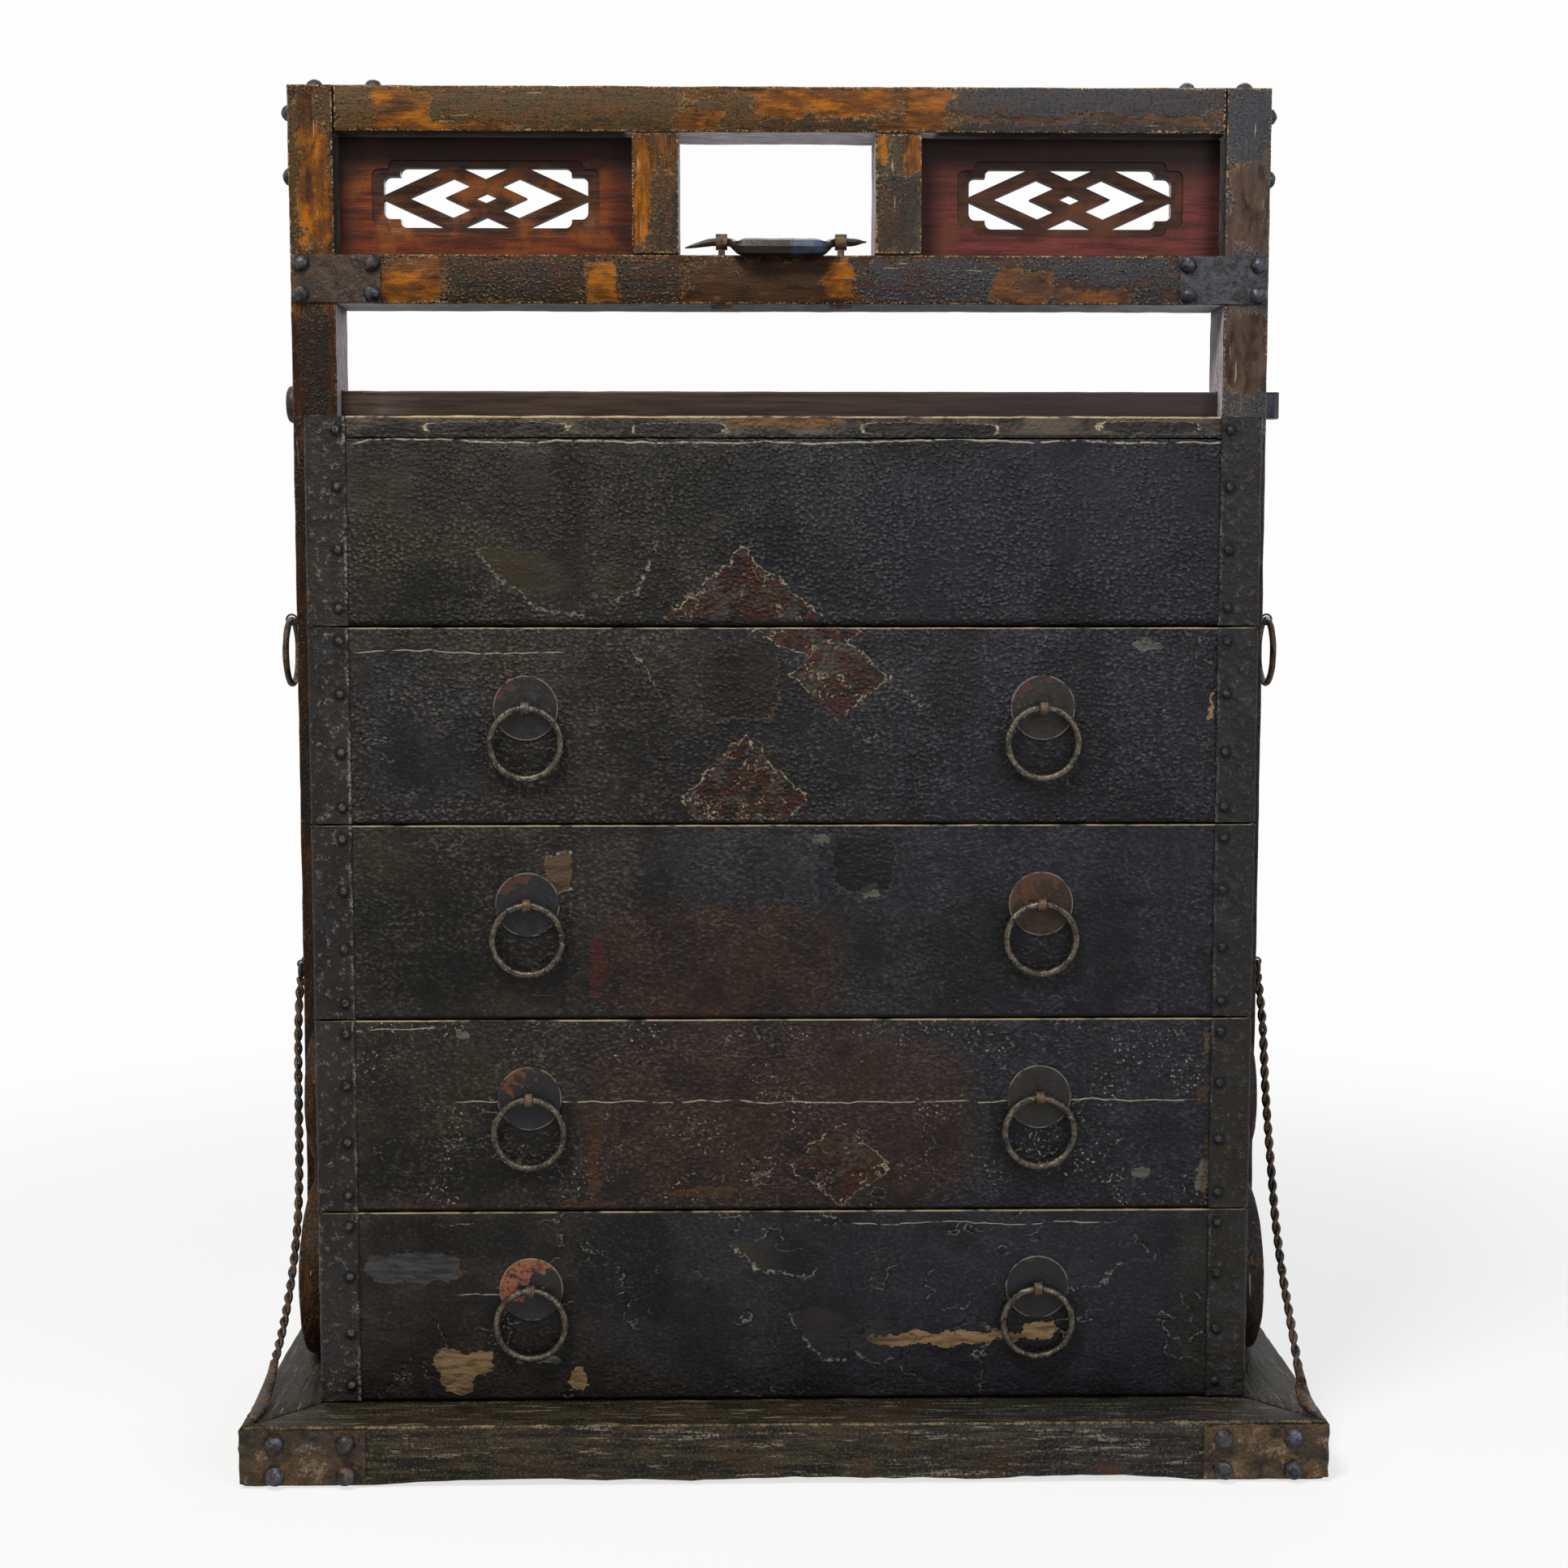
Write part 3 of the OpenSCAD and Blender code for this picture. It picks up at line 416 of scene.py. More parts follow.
# How pebbled, how cracked and how dusty each box is
AGE = {"lid": (1.0, 0.25, 0.3), "tray_1": (0.8, 0.6, 0.4), "tray_2": (0.35, 0.35, 0.4),
       "tray_3": (0.4, 0.75, 1.0), "tray_4": (0.12, 1.0, 0.35)}
print(sum(len(places) for marks in BOX_MARKS.values() for places in marks.values()), "scars")

# %% The lacquer itself
BOARD = 18 * MM


def box_lacquer(name, low, high, shift):
    """Black lacquer for one box, with its own scars on its front."""
    f = Finish(name + "_lacquer", shift)
    marks = dict(BOX_MARKS[name])
    leathery, cracked, dusty = AGE[name]
    # Painted shade: a dark blot round the place where each ring hangs
    if name != "lid":
        ring_low, ring_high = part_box(name + "_ring_left")
        z = (ring_low[2] + ring_high[2]) / 2 / MM
        marks["dark"] = marks.get("dark", []) + [(x, z - 4, 94, 90) for x in (-250, 250)]
    across, up = f.wandering(0.022, 0.026)
    front = f.y.soft(low[1] + 0.003, low[1] + 0.0015)
    cool = f.x.soft(-0.3, 0.3)
    fine = f.cloud(0.0028, stretch=(1.4, 1, 1), rough=0.65)
    drift = f.cloud(0.07, 3, detail=4)
    tone = f.cloud(0.03, 11, (2, 1, 1), rough=0.65)
    pebble = f.pebbles(0.0042, (1.4, 1, 1)).soft(0.62, 0.12)
    leather = f.cloud(0.08, 5).soft(0.3, 0.55) * leathery
    smooth = 1 - leathery

    f.colour = f.mix(cool, "#1e1a16", "#18181c")
    f.lay(tone.soft(0.5, 0.7) * 0.6, f.mix(cool, "#342e26", "#29292f"))
    for kind, (code, amount, rim) in TINTS.items():
        mask = f.blots(marks.get(kind, ()), across, up, rim)
        if mask is not None:
            f.lay(mask * front * amount, code)
    # Painted shade in the hollows of the fine grain, and a painted highlight on the crests of the pebbles
    # and of the grain
    light = f.mix(cool, "#655f54", "#56565f")
    f.lay(fine.soft(0.5, 0.34) * (0.75 - smooth * 0.3), "#050505")
    f.lay(pebble * leather * fine.soft(0.4, 0.58) * 0.42, light)
    f.lay(fine.soft(0.54, 0.7) * (0.16 + leather * 0.3), light)
    f.lay(drift.soft(0.52, 0.4) * 0.5, "#0a0a0a")
    if name == "lid":
        edge_board = f.z.soft(high[2] - 0.0195, high[2] - 0.0175) * front
        f.lay(edge_board * tone.soft(0.36, 0.6) * 0.55, "#5f5243")
    sparse = 0.78 - 0.14 * dusty
    dust = f.cloud(0.0032, 21, detail=1).soft(sparse, sparse + 0.07)
    f.lay(dust * f.cloud(0.05, 23).soft(0.5, 0.64) * dusty * 0.8, "#8d8472")

    # The skin has cracked and lifted: along a crack one lip stands up and catches the light
    scale = f.cloud(0.06, 31, (1.7, 1, 1), detail=5, rough=0.5)
    where = f.cloud(0.06, 33).soft(0.46, 0.56) * cracked
    lip = abs(scale - 0.56).soft(0.0055, 0.0015) * where * fine.soft(0.4, 0.58)
    f.lay(abs(scale - 0.55).soft(0.009, 0.003) * where * 0.7, "#060606")
    f.lay(lip * 0.6, "#76736a")
    sink = scale.soft(0.55, 0.562) * where * -0.0008

    bare = None
    for kind, (code, amount) in CHIPS.items():
        level = f.z + (up - f.z) * 0.3 if kind in ("scab", "gold") else up
        mask = f.blots(marks.get(kind, ()), across, level, 0.18)
        if mask is None:
            continue
        mask = mask * front
        f.lay(mask * amount, f.mix(f.cloud(0.005, 2, (5, 1, 1)).soft(0.35, 0.6), ink(code, 0.42), code))
        sink = sink + mask * (0.0012 if kind == "scab" else -0.0009)
        if kind in ("wood", "chip", "orange"):
            bare = mask if bare is None else bare.high(mask)
        f.lay(mask * (1 - mask) * 4 * fine.soft(0.4, 0.55) * (1.0 if kind == "scab" else 0.7),
              "#a3977a" if kind in ("scab", "chip") else "#4a3b2a")

    # Lifted flakes: brown skin inside, a painted shadow along the upper edge, and a thin painted highlight
    # along the lower lip
    bent, raised = f.wandering(0.03, 0.034, 60)
    broken = f.cloud(0.02, 61).soft(0.38, 0.5)
    for x, z, long, wide, tilt in LEAVES.get(name, ()):
        spread, turn = 0.5 * MM, math.radians(tilt)
        off_x, off_z = bent - x * MM, raised - z * MM
        u = (off_x * math.cos(turn) + off_z * math.sin(turn)) / (long * spread)
        v = (off_z * math.cos(turn) - off_x * math.sin(turn)) / (wide * spread)
        reach = abs(v) + u * u
        flake = reach.soft(1.04, 0.96) * front
        brim = abs(reach - 1.0).soft(0.09, 0.02) * front
        below = v.soft(0.15, -0.15)
        f.lay(flake * u.soft(0.6, -0.4) * 0.6, f.mix(cool, "#2e2818", "#222228"))
        f.lay(brim * (1 - below) * 0.7, "#080808")
        f.lay(brim * below * broken * fine.soft(0.4, 0.55) * 0.65, "#8b877a")
        sink = sink + flake * 0.0006

    # What is left of papers: brown, red and grey tatters with pale torn edges here and there
    paper = f.blots(marks.get("paper", ()), across, up, 0.03, lozenge=True)
    if paper is not None:
        paper = paper * front
        torn = f.cloud(0.022, 41, detail=4, rough=0.6)
        here = f.cloud(0.018, 47).soft(0.52, 0.6)
        tatter = f.mix(torn.soft(0.44, 0.46), "#1a1512", f.mix(torn.soft(0.55, 0.57), "#351910", "#332618"))
        grey = f.cloud(0.022, 43, detail=4).soft(0.54, 0.56)
        tatter = f.mix(grey * 0.8, tatter, "#3b362f")
        tatter = f.mix(fine.soft(0.54, 0.38) * 0.7, tatter, "#0c0908")
        seam = abs(torn - 0.45).soft(0.017, 0.006).high(abs(torn - 0.56).soft(0.017, 0.006))
        seam = seam.high(grey * (1 - grey) * 4)
        rim = paper * (1 - paper) * 4 * f.cloud(0.025, 49).soft(0.4, 0.5)
        rim = rim.high(seam * paper * here)
        f.lay(paper * 0.85, tatter)
        f.lay(rim * fine.soft(0.4, 0.55) * 0.75, "#978c74")
        sink = sink + paper * (torn - 0.5) * 0.003

    for x0, x1, z, width in BOX_LINES.get(name, ()):
        line = f.streak(x0, x1, z, width, across, f.z + (drift - 0.5) * 0.016) * front
        f.lay(line * 0.75, "#9a927e")
        sink = sink - line * 0.0005

    # Arrises wear first: the top one of each box shows as a broken pale line
    near = f.edge(low, high)
    worn = (near + (f.cloud(0.009, 9) - 0.5) * 0.005).soft(0.0018, 0.0004)
    above = f.cloud(0.025, 1, (2, 2, 1), rough=0.7)
    brink = 0.0036 if name == "lid" else 0.0024
    rubbed = (high[2] - f.z).soft(brink, brink / 2) * near.soft(0.005, 0.003) * above.soft(0.36, 0.5)
    f.lay(worn * 0.4, "#5e4c34")
    f.lay(rubbed * 0.85, "#b09c76" if name == "lid" else "#9c8c6c")
    # Painted shade: the bottom few millimetres of each box are laid almost black, deepest under the lid,
    # for the shadow in the seam between boxes
    seam_shade = 0.0085 if name == "lid" else 0.005
    f.lay((f.z - low[2]).soft(seam_shade, seam_shade * 0.55) * 0.95, "#030303")

    # Inside, the boards were never lacquered
    deep = (f.x - low[0]).low(high[0] - f.x).low((f.y - low[1]).low(high[1] - f.y))
    inside = deep.soft(BOARD - 0.002, BOARD - 0.0008)
    if name == "lid":
        inside = inside * (high[2] - f.z).soft(0.021, 0.023)
    figure = f.cloud(0.012, 4, (9, 9, 1), detail=5)
    f.lay(inside, f.mix(figure.soft(0.3, 0.7), "#5c4632", "#3a2a1e"))

    rough = 0.42 + (fine - 0.5) * 0.35 + worn * 0.2 + inside * 0.2
    if bare is not None:
        rough = rough + bare * 0.2
    height = pebble * leather * 0.0017 + (fine - 0.5) * (0.0015 - smooth * 0.0006) + (tone - 0.5) * 0.0026
    height = height * (1 - inside) + sink
    height = height + inside * (figure - 0.5) * 0.0004
    return f.surface(rough, height, gloss=0.13)

# %% [markdown]
# ## The wood of the frame
# Posts, rails and struts were painted dark too, but hands and ropes have rubbed them down to a
# glowing orange-brown wood. Dark olive lacquer is left in torn islands with a paler rim, and
# every arris has a thin tan line.

# %% Islands of lacquer on the frame
FRAME_MARKS = {
    "upright_left": {
        "orange": [(-481, 1275, 34, 125)], "olive": [(-503, 1285, 11, 152), (-470, 1355, 19, 44)],
        "black": [(-485, 1109, 30, 81)], "red": [(-508, 1076, 11, 147)]},
    "upright_right": {
        "blue": [(482, 1342, 51, 77)], "tan": [(484, 1258, 40, 81), (485, 1110, 47, 79)]},
    "top_rail": {
        "olive": [(-441, 1354, 37, 46), (-230, 1360, 262, 35), (-58, 1351, 64, 38), (86, 1350, 84, 13)],
        "orange": [(-391, 1355, 60, 44), (-341, 1337, 142, 9), (-83, 1344, 41, 24), (50, 1362, 151, 31),
            (150, 1356, 51, 42)], "black": [(33, 1339, 118, 14), (313, 1336, 276, 6)],
        "blue": [(316, 1365, 282, 29)], "tan": [(313, 1345, 276, 7)]},
    "lower_rail": {
        "orange": [(-382, 1179, 62, 51), (-186, 1179, 33, 50), (62, 1182, 28, 42), (252, 1173, 66, 36),
            (327, 1165, 85, 16)], "black": [(-276, 1180, 144, 41), (-133, 1179, 68, 50)],
        "brown": [(-26, 1179, 146, 49)], "blue": [(155, 1181, 157, 48), (347, 1192, 125, 26)]},
    "strut_left": {
        "black": [(-125, 1254, 37, 82)], "orange": [(-146, 1274, 18, 111)]},
    "strut_right": {
        "orange": [(103, 1316, 17, 29), (137, 1312, 18, 39)], "black": [(120, 1252, 44, 77)]},
}
ISLANDS = {"tan": "#5f4733", "orange": "#965705", "red": "#3a1c12", "brown": "#3a2a1c",
           "olive": "#3e331d", "blue": "#303338", "black": "#25231d"}
RUBBED = ("orange", "tan", "red", "brown")

# %% Worn wood
def frame_wood(name, low, high, axis, shift, wood, lacquer, cover, raw=None, shade=None, crackled=0.5):
    """Wood under torn lacquer; cover is the share of it that is gone, raw a face never painted."""
    f = Finish(name + "_wood", shift)
    marks = FRAME_MARKS.get(name, {})
    along = [14.0 if i == axis else 1.0 for i in range(3)]
    wide = [2.5 if i == axis else 1.0 for i in range(3)]
    across, up = f.wandering(0.018, 0.034)
    front = f.y.soft(low[1] + 0.004, low[1] + 0.002)
    grain = f.cloud(0.005, 0, along, detail=5, rough=0.7)
    fibre = f.cloud(0.0016, 2, along)
    drift = f.cloud(0.03, 4, wide, detail=5, rough=0.7)
    fine = f.cloud(0.0026, 6, rough=0.65)
    mottle = f.cloud(0.014, 8, wide, detail=4, rough=0.65)

    f.colour = f.mix(grain.soft(0.34, 0.62), *wood)
    skin = drift.soft(cover - 0.02, cover + 0.02)
    for kind in ("olive", "black", "blue"):
        mask = f.blots(marks.get(kind, ()), across, up, 0.3)
        if mask is not None:
            skin = skin.high(mask * front * drift.soft(cover - 0.22, cover - 0.18))
    coat = f.mix(f.cloud(0.02, 13).soft(0.35, 0.65), *lacquer)
    for kind, code in ISLANDS.items():
        mask = f.blots(marks.get(kind, ()), across, up, 0.6)
        if mask is None:
            continue
        mask = mask * front
        if kind in RUBBED:
            skin = skin * (1 - mask * drift.soft(cover + 0.2, cover + 0.14))
            glow = f.cloud(0.012, 23, wide, rough=0.7).soft(0.34, 0.6)
            worked = f.mix(grain.soft(0.4, 0.66) * 0.6, code, ink(code, 0.35))
            f.lay(mask * 0.92, f.mix(glow * 0.8, worked, "#3d2410"))
        else:
            coat = f.mix(mask * 0.9, coat, code)

    # Thin brown varnish is left in soft clouds over the bare wood
    cool = f.x.soft(0.05, 0.3)
    f.lay(cool * 0.4, "#40383a")
    f.lay(mottle.soft(0.5, 0.68) * 0.75, "#1d1209")
    f.lay(mottle.soft(0.4, 0.28) * 0.35, "#8f5f2c")
    pebble = f.pebbles(0.0032, (1.3, 1, 1)).soft(0.55, 0.12)
    crack = f.cloud(0.05, 27).soft(0.6 - crackled * 0.3, 0.7 - crackled * 0.3) * crackled
    coat = f.mix(cool * 0.6, coat, "#36393f")
    coat = f.mix(mottle.soft(0.42, 0.6) * (0.55 - cool * 0.4), coat, f.mix(0.35, wood[0], lacquer[1]))
    coat = f.mix(fine.soft(0.49, 0.35) * 0.7, coat, "#0b0a07")
    coat = f.mix(pebble * fine.soft(0.46, 0.62) * (0.12 + crack * 0.6), coat, "#7d7460")
    f.lay(skin * 0.9, coat)
    f.lay(skin * (1 - skin) * 4 * fine.soft(0.44, 0.6) * 0.4, "#8c7550")

    near = f.edge(low, high) + (f.cloud(0.011, 9) - 0.5) * 0.007
    f.lay(near.soft(0.0028, 0.0014) * 0.8, f.mix(fine.soft(0.46, 0.56), "#130e08", "#ac8c60"))
    scratch = f.cloud(0.0032, 17, along, detail=1).soft(0.72, 0.77)
    f.lay(scratch * 0.6, "#a8987a")
    if shade:
        f.lay(f.z.soft(shade, shade - 0.03) * 0.62, "#0f0b08")
    rough = 0.34 + (1 - skin) * 0.04 + (fine - 0.5) * 0.35

    # Faces that look inwards were never painted: grey, dry wood. It is laid dark as painted shade, and pale
    # as painted light only where light gets in, palest on the faces that look down
    if raw:
        side, sign = raw
        place = (f.x, f.y, f.z)[side]
        bare = (high[side] - place if sign > 0 else place - low[side]).soft(0.004, 0.0015)
        bare = bare * f.y.soft(low[1] + 0.0025, low[1] + 0.004)
        f.lay(bare * 0.85, "#1f2125")
        lit_share = 1.0
        if name == "top_rail":
            lit_share = abs(f.x).soft(0.165, 0.155)
        elif name.startswith("upright"):
            lit_share = f.z.soft(1.165, 1.155)
        bare = bare * lit_share
        tones = ("#fffaff", "#a79fa5") if side == 2 else ("#d6cdd2", "#857b7f")
        f.lay(bare * 0.93, f.mix(fibre.soft(0.35, 0.65), *tones))
        rough = rough + bare * 0.3
    height = ((grain - 0.5) * 0.0009 + (fibre - 0.5) * 0.0003 + skin * 0.0008
              + skin * pebble * crack * 0.0009 - scratch * 0.0003 + (fine - 0.5) * 0.0009
              + (mottle - 0.5) * 0.0014)
    return f.surface(rough, height, gloss=0.1)

# %% [markdown]
# ## Forged iron
# The straps, nails, eyes and rings were beaten by a smith. Iron like this is dark brown-black
# with rust in its hollows and a bluish sheen where fingers and boxes have rubbed it.

# %% Iron
def iron(name, shift, rust=0.5, sheen=0.5, hammer=0.0008, base=("#1c1a1a", "#2e2823"),
         brown=("#2f2118", "#5d4026"), pale="#7d6a52", cool=0.0, shine="#5d6472"):
    """Hammered iron: brown in its hollows, bluish where rubbed; cool tints the right half."""
    f = Finish(name, shift)
    lumps = f.cloud(0.011, rough=0.6)
    pits = f.cloud(0.0028, 3, rough=0.7)
    drift = f.cloud(0.02, 5, rough=0.7)
    f.colour = f.mix(lumps.soft(0.38, 0.62), *base)
    eaten = drift.soft(1 - rust * 0.95, 1.1 - rust * 0.95)
    f.lay(eaten * 0.85, f.mix(lumps.soft(0.4, 0.6), *brown))
    if cool:
        f.lay(f.x.soft(0.05, 0.3) * cool, f.mix(lumps.soft(0.4, 0.6), "#1c1e23", "#3c3f49"))
    bright = f.cloud(0.014, 8).soft(0.6 - sheen * 0.2, 0.74 - sheen * 0.1) * (1 - eaten * 0.6)
    f.lay(bright * 0.6, shine)
    f.lay(pits.soft(0.47, 0.33) * 0.8, "#0a0807")
    f.lay(pits.soft(0.57, 0.7) * 0.6, pale)
    return f.surface(0.38 + eaten * 0.2 - bright * 0.1 + (pits - 0.5) * 0.35,
                     (lumps - 0.5) * hammer * 2 + (pits - 0.5) * 0.0009,
                     metal=0.35 + bright * 0.4 - eaten * 0.3, gloss=0.3)


def crumpled_iron():
    """The straps of the base: brown, beaten into folds, with painted shade in the folds and a painted
    highlight on the rubbed crests.
    """
    f = Finish("base_iron")
    folds = f.cloud(0.02, 2.1, detail=4, rough=0.6)
    pits = f.cloud(0.003, 5.1, rough=0.7)
    f.colour = f.mix(f.cloud(0.04, 7.3).soft(0.4, 0.6), "#513b20", "#33271a")
    # Painted shade in the folds, and painted highlights on their crests, which are also rubbed
    f.lay(folds.soft(0.48, 0.36) * 0.85, "#0f0b08")
    f.lay(folds.soft(0.54, 0.68) * 0.6, "#6f5745")
    f.lay(pits.soft(0.47, 0.33) * 0.6, "#0c0907")
    f.lay(folds.soft(0.54, 0.64) * pits.soft(0.5, 0.62) * 0.6, "#8f7d68")
    return f.surface(0.36 + (pits - 0.5) * 0.4, (folds - 0.5) * 0.009 + (pits - 0.5) * 0.0009,
                     metal=0.1, gloss=0.28)


IRON = iron("wrought_iron", 0.3, rust=0.46, sheen=0.8, cool=0.5)
STRAP = crumpled_iron()
PLATE = iron("plate_iron", 3.4, rust=0.62, sheen=0.0, base=("#19130e", "#30241a"),
             brown=("#20160d", "#3d2916"), pale="#5e4d38", cool=0.7)
BRIGHT = iron("ring_iron", 4.7, rust=0.4, sheen=1.2, hammer=0.0006, base=("#131213", "#2f2a26"),
              pale="#b39d7d", shine="#6b6355")
BRASSY = iron("brown_iron", 6.2, rust=0.62, hammer=0.0004, base=("#241b14", "#43331f"),
              brown=("#302115", "#5a4024"))
STAYED = iron("stay_iron", 9.4, rust=0.6, sheen=0.45, hammer=0.0003, base=("#1e1914", "#3f3324"),
              brown=("#2c2016", "#57402a"), pale="#8a7350")
print("irons mixed:", [m.name for m in (IRON, STRAP, PLATE, BRIGHT, BRASSY, STAYED)])

# %% [markdown]
# ## The base
# Four stout rails are mitred like a picture frame. The lower edge has been dragged over
# thresholds for years, so between the corner straps it no longer touches the floor.

# %% Base rails
SIDES = (("left", -1), ("right", 1))
BASE_X, BASE_Y, BASE_TOP = 0.525, 0.3, 0.061


def base_rail(node, side):
    """One mitred rail; side is front, rear, left or right."""
    low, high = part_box(node)
    obj = block(node + "_worn", low, high)
    along, out = (0, 1) if side in ("front", "rear") else (1, 0)
    outward = -1 if side in ("front", "left") else 1
    with picked(obj):
        for end in (-1, 1):
            corner, away = Vector(), Vector()
            corner[along], corner[out] = end * (high[along] - 0.0002), (low, high)[outward > 0][out]
            away[along], away[out] = end, -outward
            bpy.ops.mesh.select_all(action="SELECT")
            bpy.ops.mesh.bisect(plane_co=corner, plane_no=away, use_fill=True, clear_outer=True)
    soften(obj, 0.003)
    slice_up(obj, along, 0.014)
    if along == 0:
        for point in (v.co for v in obj.data.vertices if v.co.z < 0.012):
            reach = min(1.0, max(0.0, (0.405 - abs(point.x)) / 0.05))
            wave = math.sin(point.x * 23 + 1) + 0.7 * math.sin(point.x * 57) * math.sin(point.x * 11)
            lift = 0.0042 + 0.0011 * wave + random.uniform(-0.0004, 0.0004)
            point.z += reach * reach * (3 - 2 * reach) * lift
    weather(obj, 0.0022, 0.02)
    return obj


def base_lacquer(node, low, high, axis, shift):
    """Dark olive lacquer, thin and streaked, with a blue-grey bloom to the right."""
    f = Finish(node + "_lacquer", shift)
    along = [11.0 if i == axis else 1.0 for i in range(3)]
    grain = f.cloud(0.0055, stretch=along, detail=5, rough=0.65)
    fine = f.cloud(0.0028, 1, rough=0.65)
    drift = f.cloud(0.04, 2, (2, 1, 1), rough=0.7)
    f.colour = f.mix(grain.soft(0.36, 0.62), "#3f3826", "#16130d")
    f.lay(f.x.soft(-0.05, 0.3) * 0.6, f.mix(grain.soft(0.36, 0.62), "#2f3237", "#141416"))
    f.lay(drift.soft(0.5, 0.62) * 0.6, "#352817")
    f.lay(drift.soft(0.46, 0.34) * 0.7, "#0d0b08")
    f.lay(fine.soft(0.49, 0.36) * 0.6, "#060503")
    f.lay(fine.soft(0.55, 0.68) * 0.3, "#857d68")
    scuff = f.cloud(0.006, 12, along, detail=4, rough=0.7)
    f.lay(scuff.soft(0.57, 0.64) * fine.soft(0.4, 0.55) * 0.6, "#8b8573")
    f.lay(f.z.soft(high[2] - 0.005, high[2] - 0.0015) * 0.3, "#0b0906")
    near = f.edge(low, high) + (f.cloud(0.012, 9) - 0.5) * 0.006
    worn = near.soft(0.0036, 0.0014)
    f.lay(worn * 0.6, f.mix(fine.soft(0.4, 0.6), "#4c3f28", "#a08a62"))
    flecks = f.cloud(0.004, 4, along, detail=1).soft(0.68, 0.75)
    f.lay(flecks * 0.5, "#8a8372")
    rust = f.cloud(0.03, 6).soft(0.6, 0.68) * f.z.soft(0.03, 0.01)
    f.lay(rust * 0.6, "#4d2a20")
    rough = 0.45 + (fine - 0.5) * 0.3 + worn * 0.15
    height = (grain - 0.5) * 0.002 + (fine - 0.5) * 0.0016 - flecks * 0.0003
    return f.surface(rough, height, gloss=0.13)


for number, side in enumerate(("front", "rear", "left", "right")):
    node = f"base_{side}_rail"
    finish = base_lacquer(node, *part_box(node), number // 2, number * 3.1)
    finished(base_rail(node, side), "frame", node, finish)

# %% [markdown]
# ## Straps and nails
# A strap is a thin sheet, so a folded corner is an L of two legs. It is drawn by extruding the
# end of the front leg round the corner, then hammered: cut across, and pushed about. Nails are
# half an icosphere each, flattened and left faceted, as a hammer leaves them.

# %% Nails
def nail(place, direction, radius, height, spin):
    """One domed nail head that stands on a face."""
    obj = added("nail", bpy.ops.mesh.primitive_ico_sphere_add, subdivisions=3, radius=1)
    with picked(obj):
        bpy.ops.mesh.bisect(plane_co=(0, 0, 0), plane_no=(0, 0, 1), use_fill=True, clear_inner=True)
    turn = Vector((0, 0, 1)).rotation_difference(Vector(direction)).to_matrix().to_4x4()
    obj.data.transform(Matrix.Translation(place) @ turn @ Matrix.Rotation(spin * 1.7, 4, "Z")
                       @ Matrix.Diagonal((radius, radius, height, 1)))
    return obj


def nail_set(node, places, radius, height):
    """All the nails of a node as one piece."""
    obj = joined(node + "_forged", [nail(place, direction, radius, height, i)
                                    for i, (place, direction) in enumerate(places)])
    weather(obj, 0.0024, 0.0075, level=0.5)
    finished(obj, "frame", node, IRON, angle=24)
    print(len(places), "nails in", node)

# %% Base straps
# The thickness of the sheet, and how far the nails stand on it
SHEET, SUNK = 0.0015, 0.0012


def base_strap():
    """The strap round the front left corner."""
    low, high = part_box("base_corner_straps")
    x, y = low[0], low[1]
    obj = block("strap", low, (-BASE_X + 0.121, y + SHEET, high[2]))
    with picked(obj):
        bpy.ops.mesh.bisect(plane_co=(x + SHEET, y, 0), plane_no=(1, 0, 0))
    with picked(obj, "FACE", lambda face: face.normal.y > 0.9 and middle(face).x < x + SHEET):
        bpy.ops.mesh.extrude_region_move(TRANSFORM_OT_translate={"value": (0, 0.09, 0)})
    soften(obj, 0.0005)
    for axis, step in ((0, 0.008), (1, 0.008), (2, 0.009)):
        slice_up(obj, axis, step)
    return obj


straps = four_corners("base_straps_forged", base_strap())
weather(straps, 0.0052, 0.02, level=0.66)
finished(straps, "frame", "base_corner_straps", STRAP)

places = []
for s in (-1, 1):
    for e in (-1, 1):
        for z in (0.012, 0.0435):
            places += [((s * (BASE_X - x), e * (BASE_Y + SUNK), z), (0, e, 0)) for x in (0.033, 0.101)]
        places += [((s * (BASE_X + SUNK), e * (BASE_Y - y), 0.02775), (s, 0, 0)) for y in (0.033, 0.07)]
nail_set("base_nails", places, 0.0096, 0.0078)

# %% [markdown]
# ## Posts, rails and struts
# Each timber starts as a block. Its edges are rounded, it is cut across into short slices, and
# noise pushes the slices inwards a little: that gives the slightly wandering arris of an old
# hand-planed timber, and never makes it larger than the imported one.

# %% Timbers
POST_IN, POST_OUT = 0.461, 0.509
# The axis of the grain, the shift of its noise, wood, lacquer, how much lacquer is gone, the face
# that was never painted, the height below which it is darker, and how crackled the lacquer is
TIMBERS = {
    "upright_left": (2, 5.0, ("#5c3410", "#2e1b0b"), ("#2c2519", "#1c1812"), 0.5, (0, 1), 1.158, 0.6),
    "upright_right": (2, 9.0, ("#66554b", "#3a302b"), ("#4b494a", "#323132"), 0.5, (0, -1), 1.02, 0.6),
    "top_rail": (0, 13.0, ("#643c12", "#33200b"), ("#433419", "#2d2310"), 0.5, (2, -1), None, 0.15),
    "lower_rail": (0, 16.0, ("#502a0e", "#281407"), ("#2a2213", "#1b150c"), 0.49, (2, -1), None, 1.0),
    "strut_left": (2, 19.0, ("#6b431c", "#38220f"), ("#3b3322", "#28221a"), 0.52, (0, 1), None, 0.6),
    "strut_right": (2, 22.0, ("#5e3e20", "#332114"), ("#43402f", "#2c2a22"), 0.46, (0, -1), None, 0.5)}
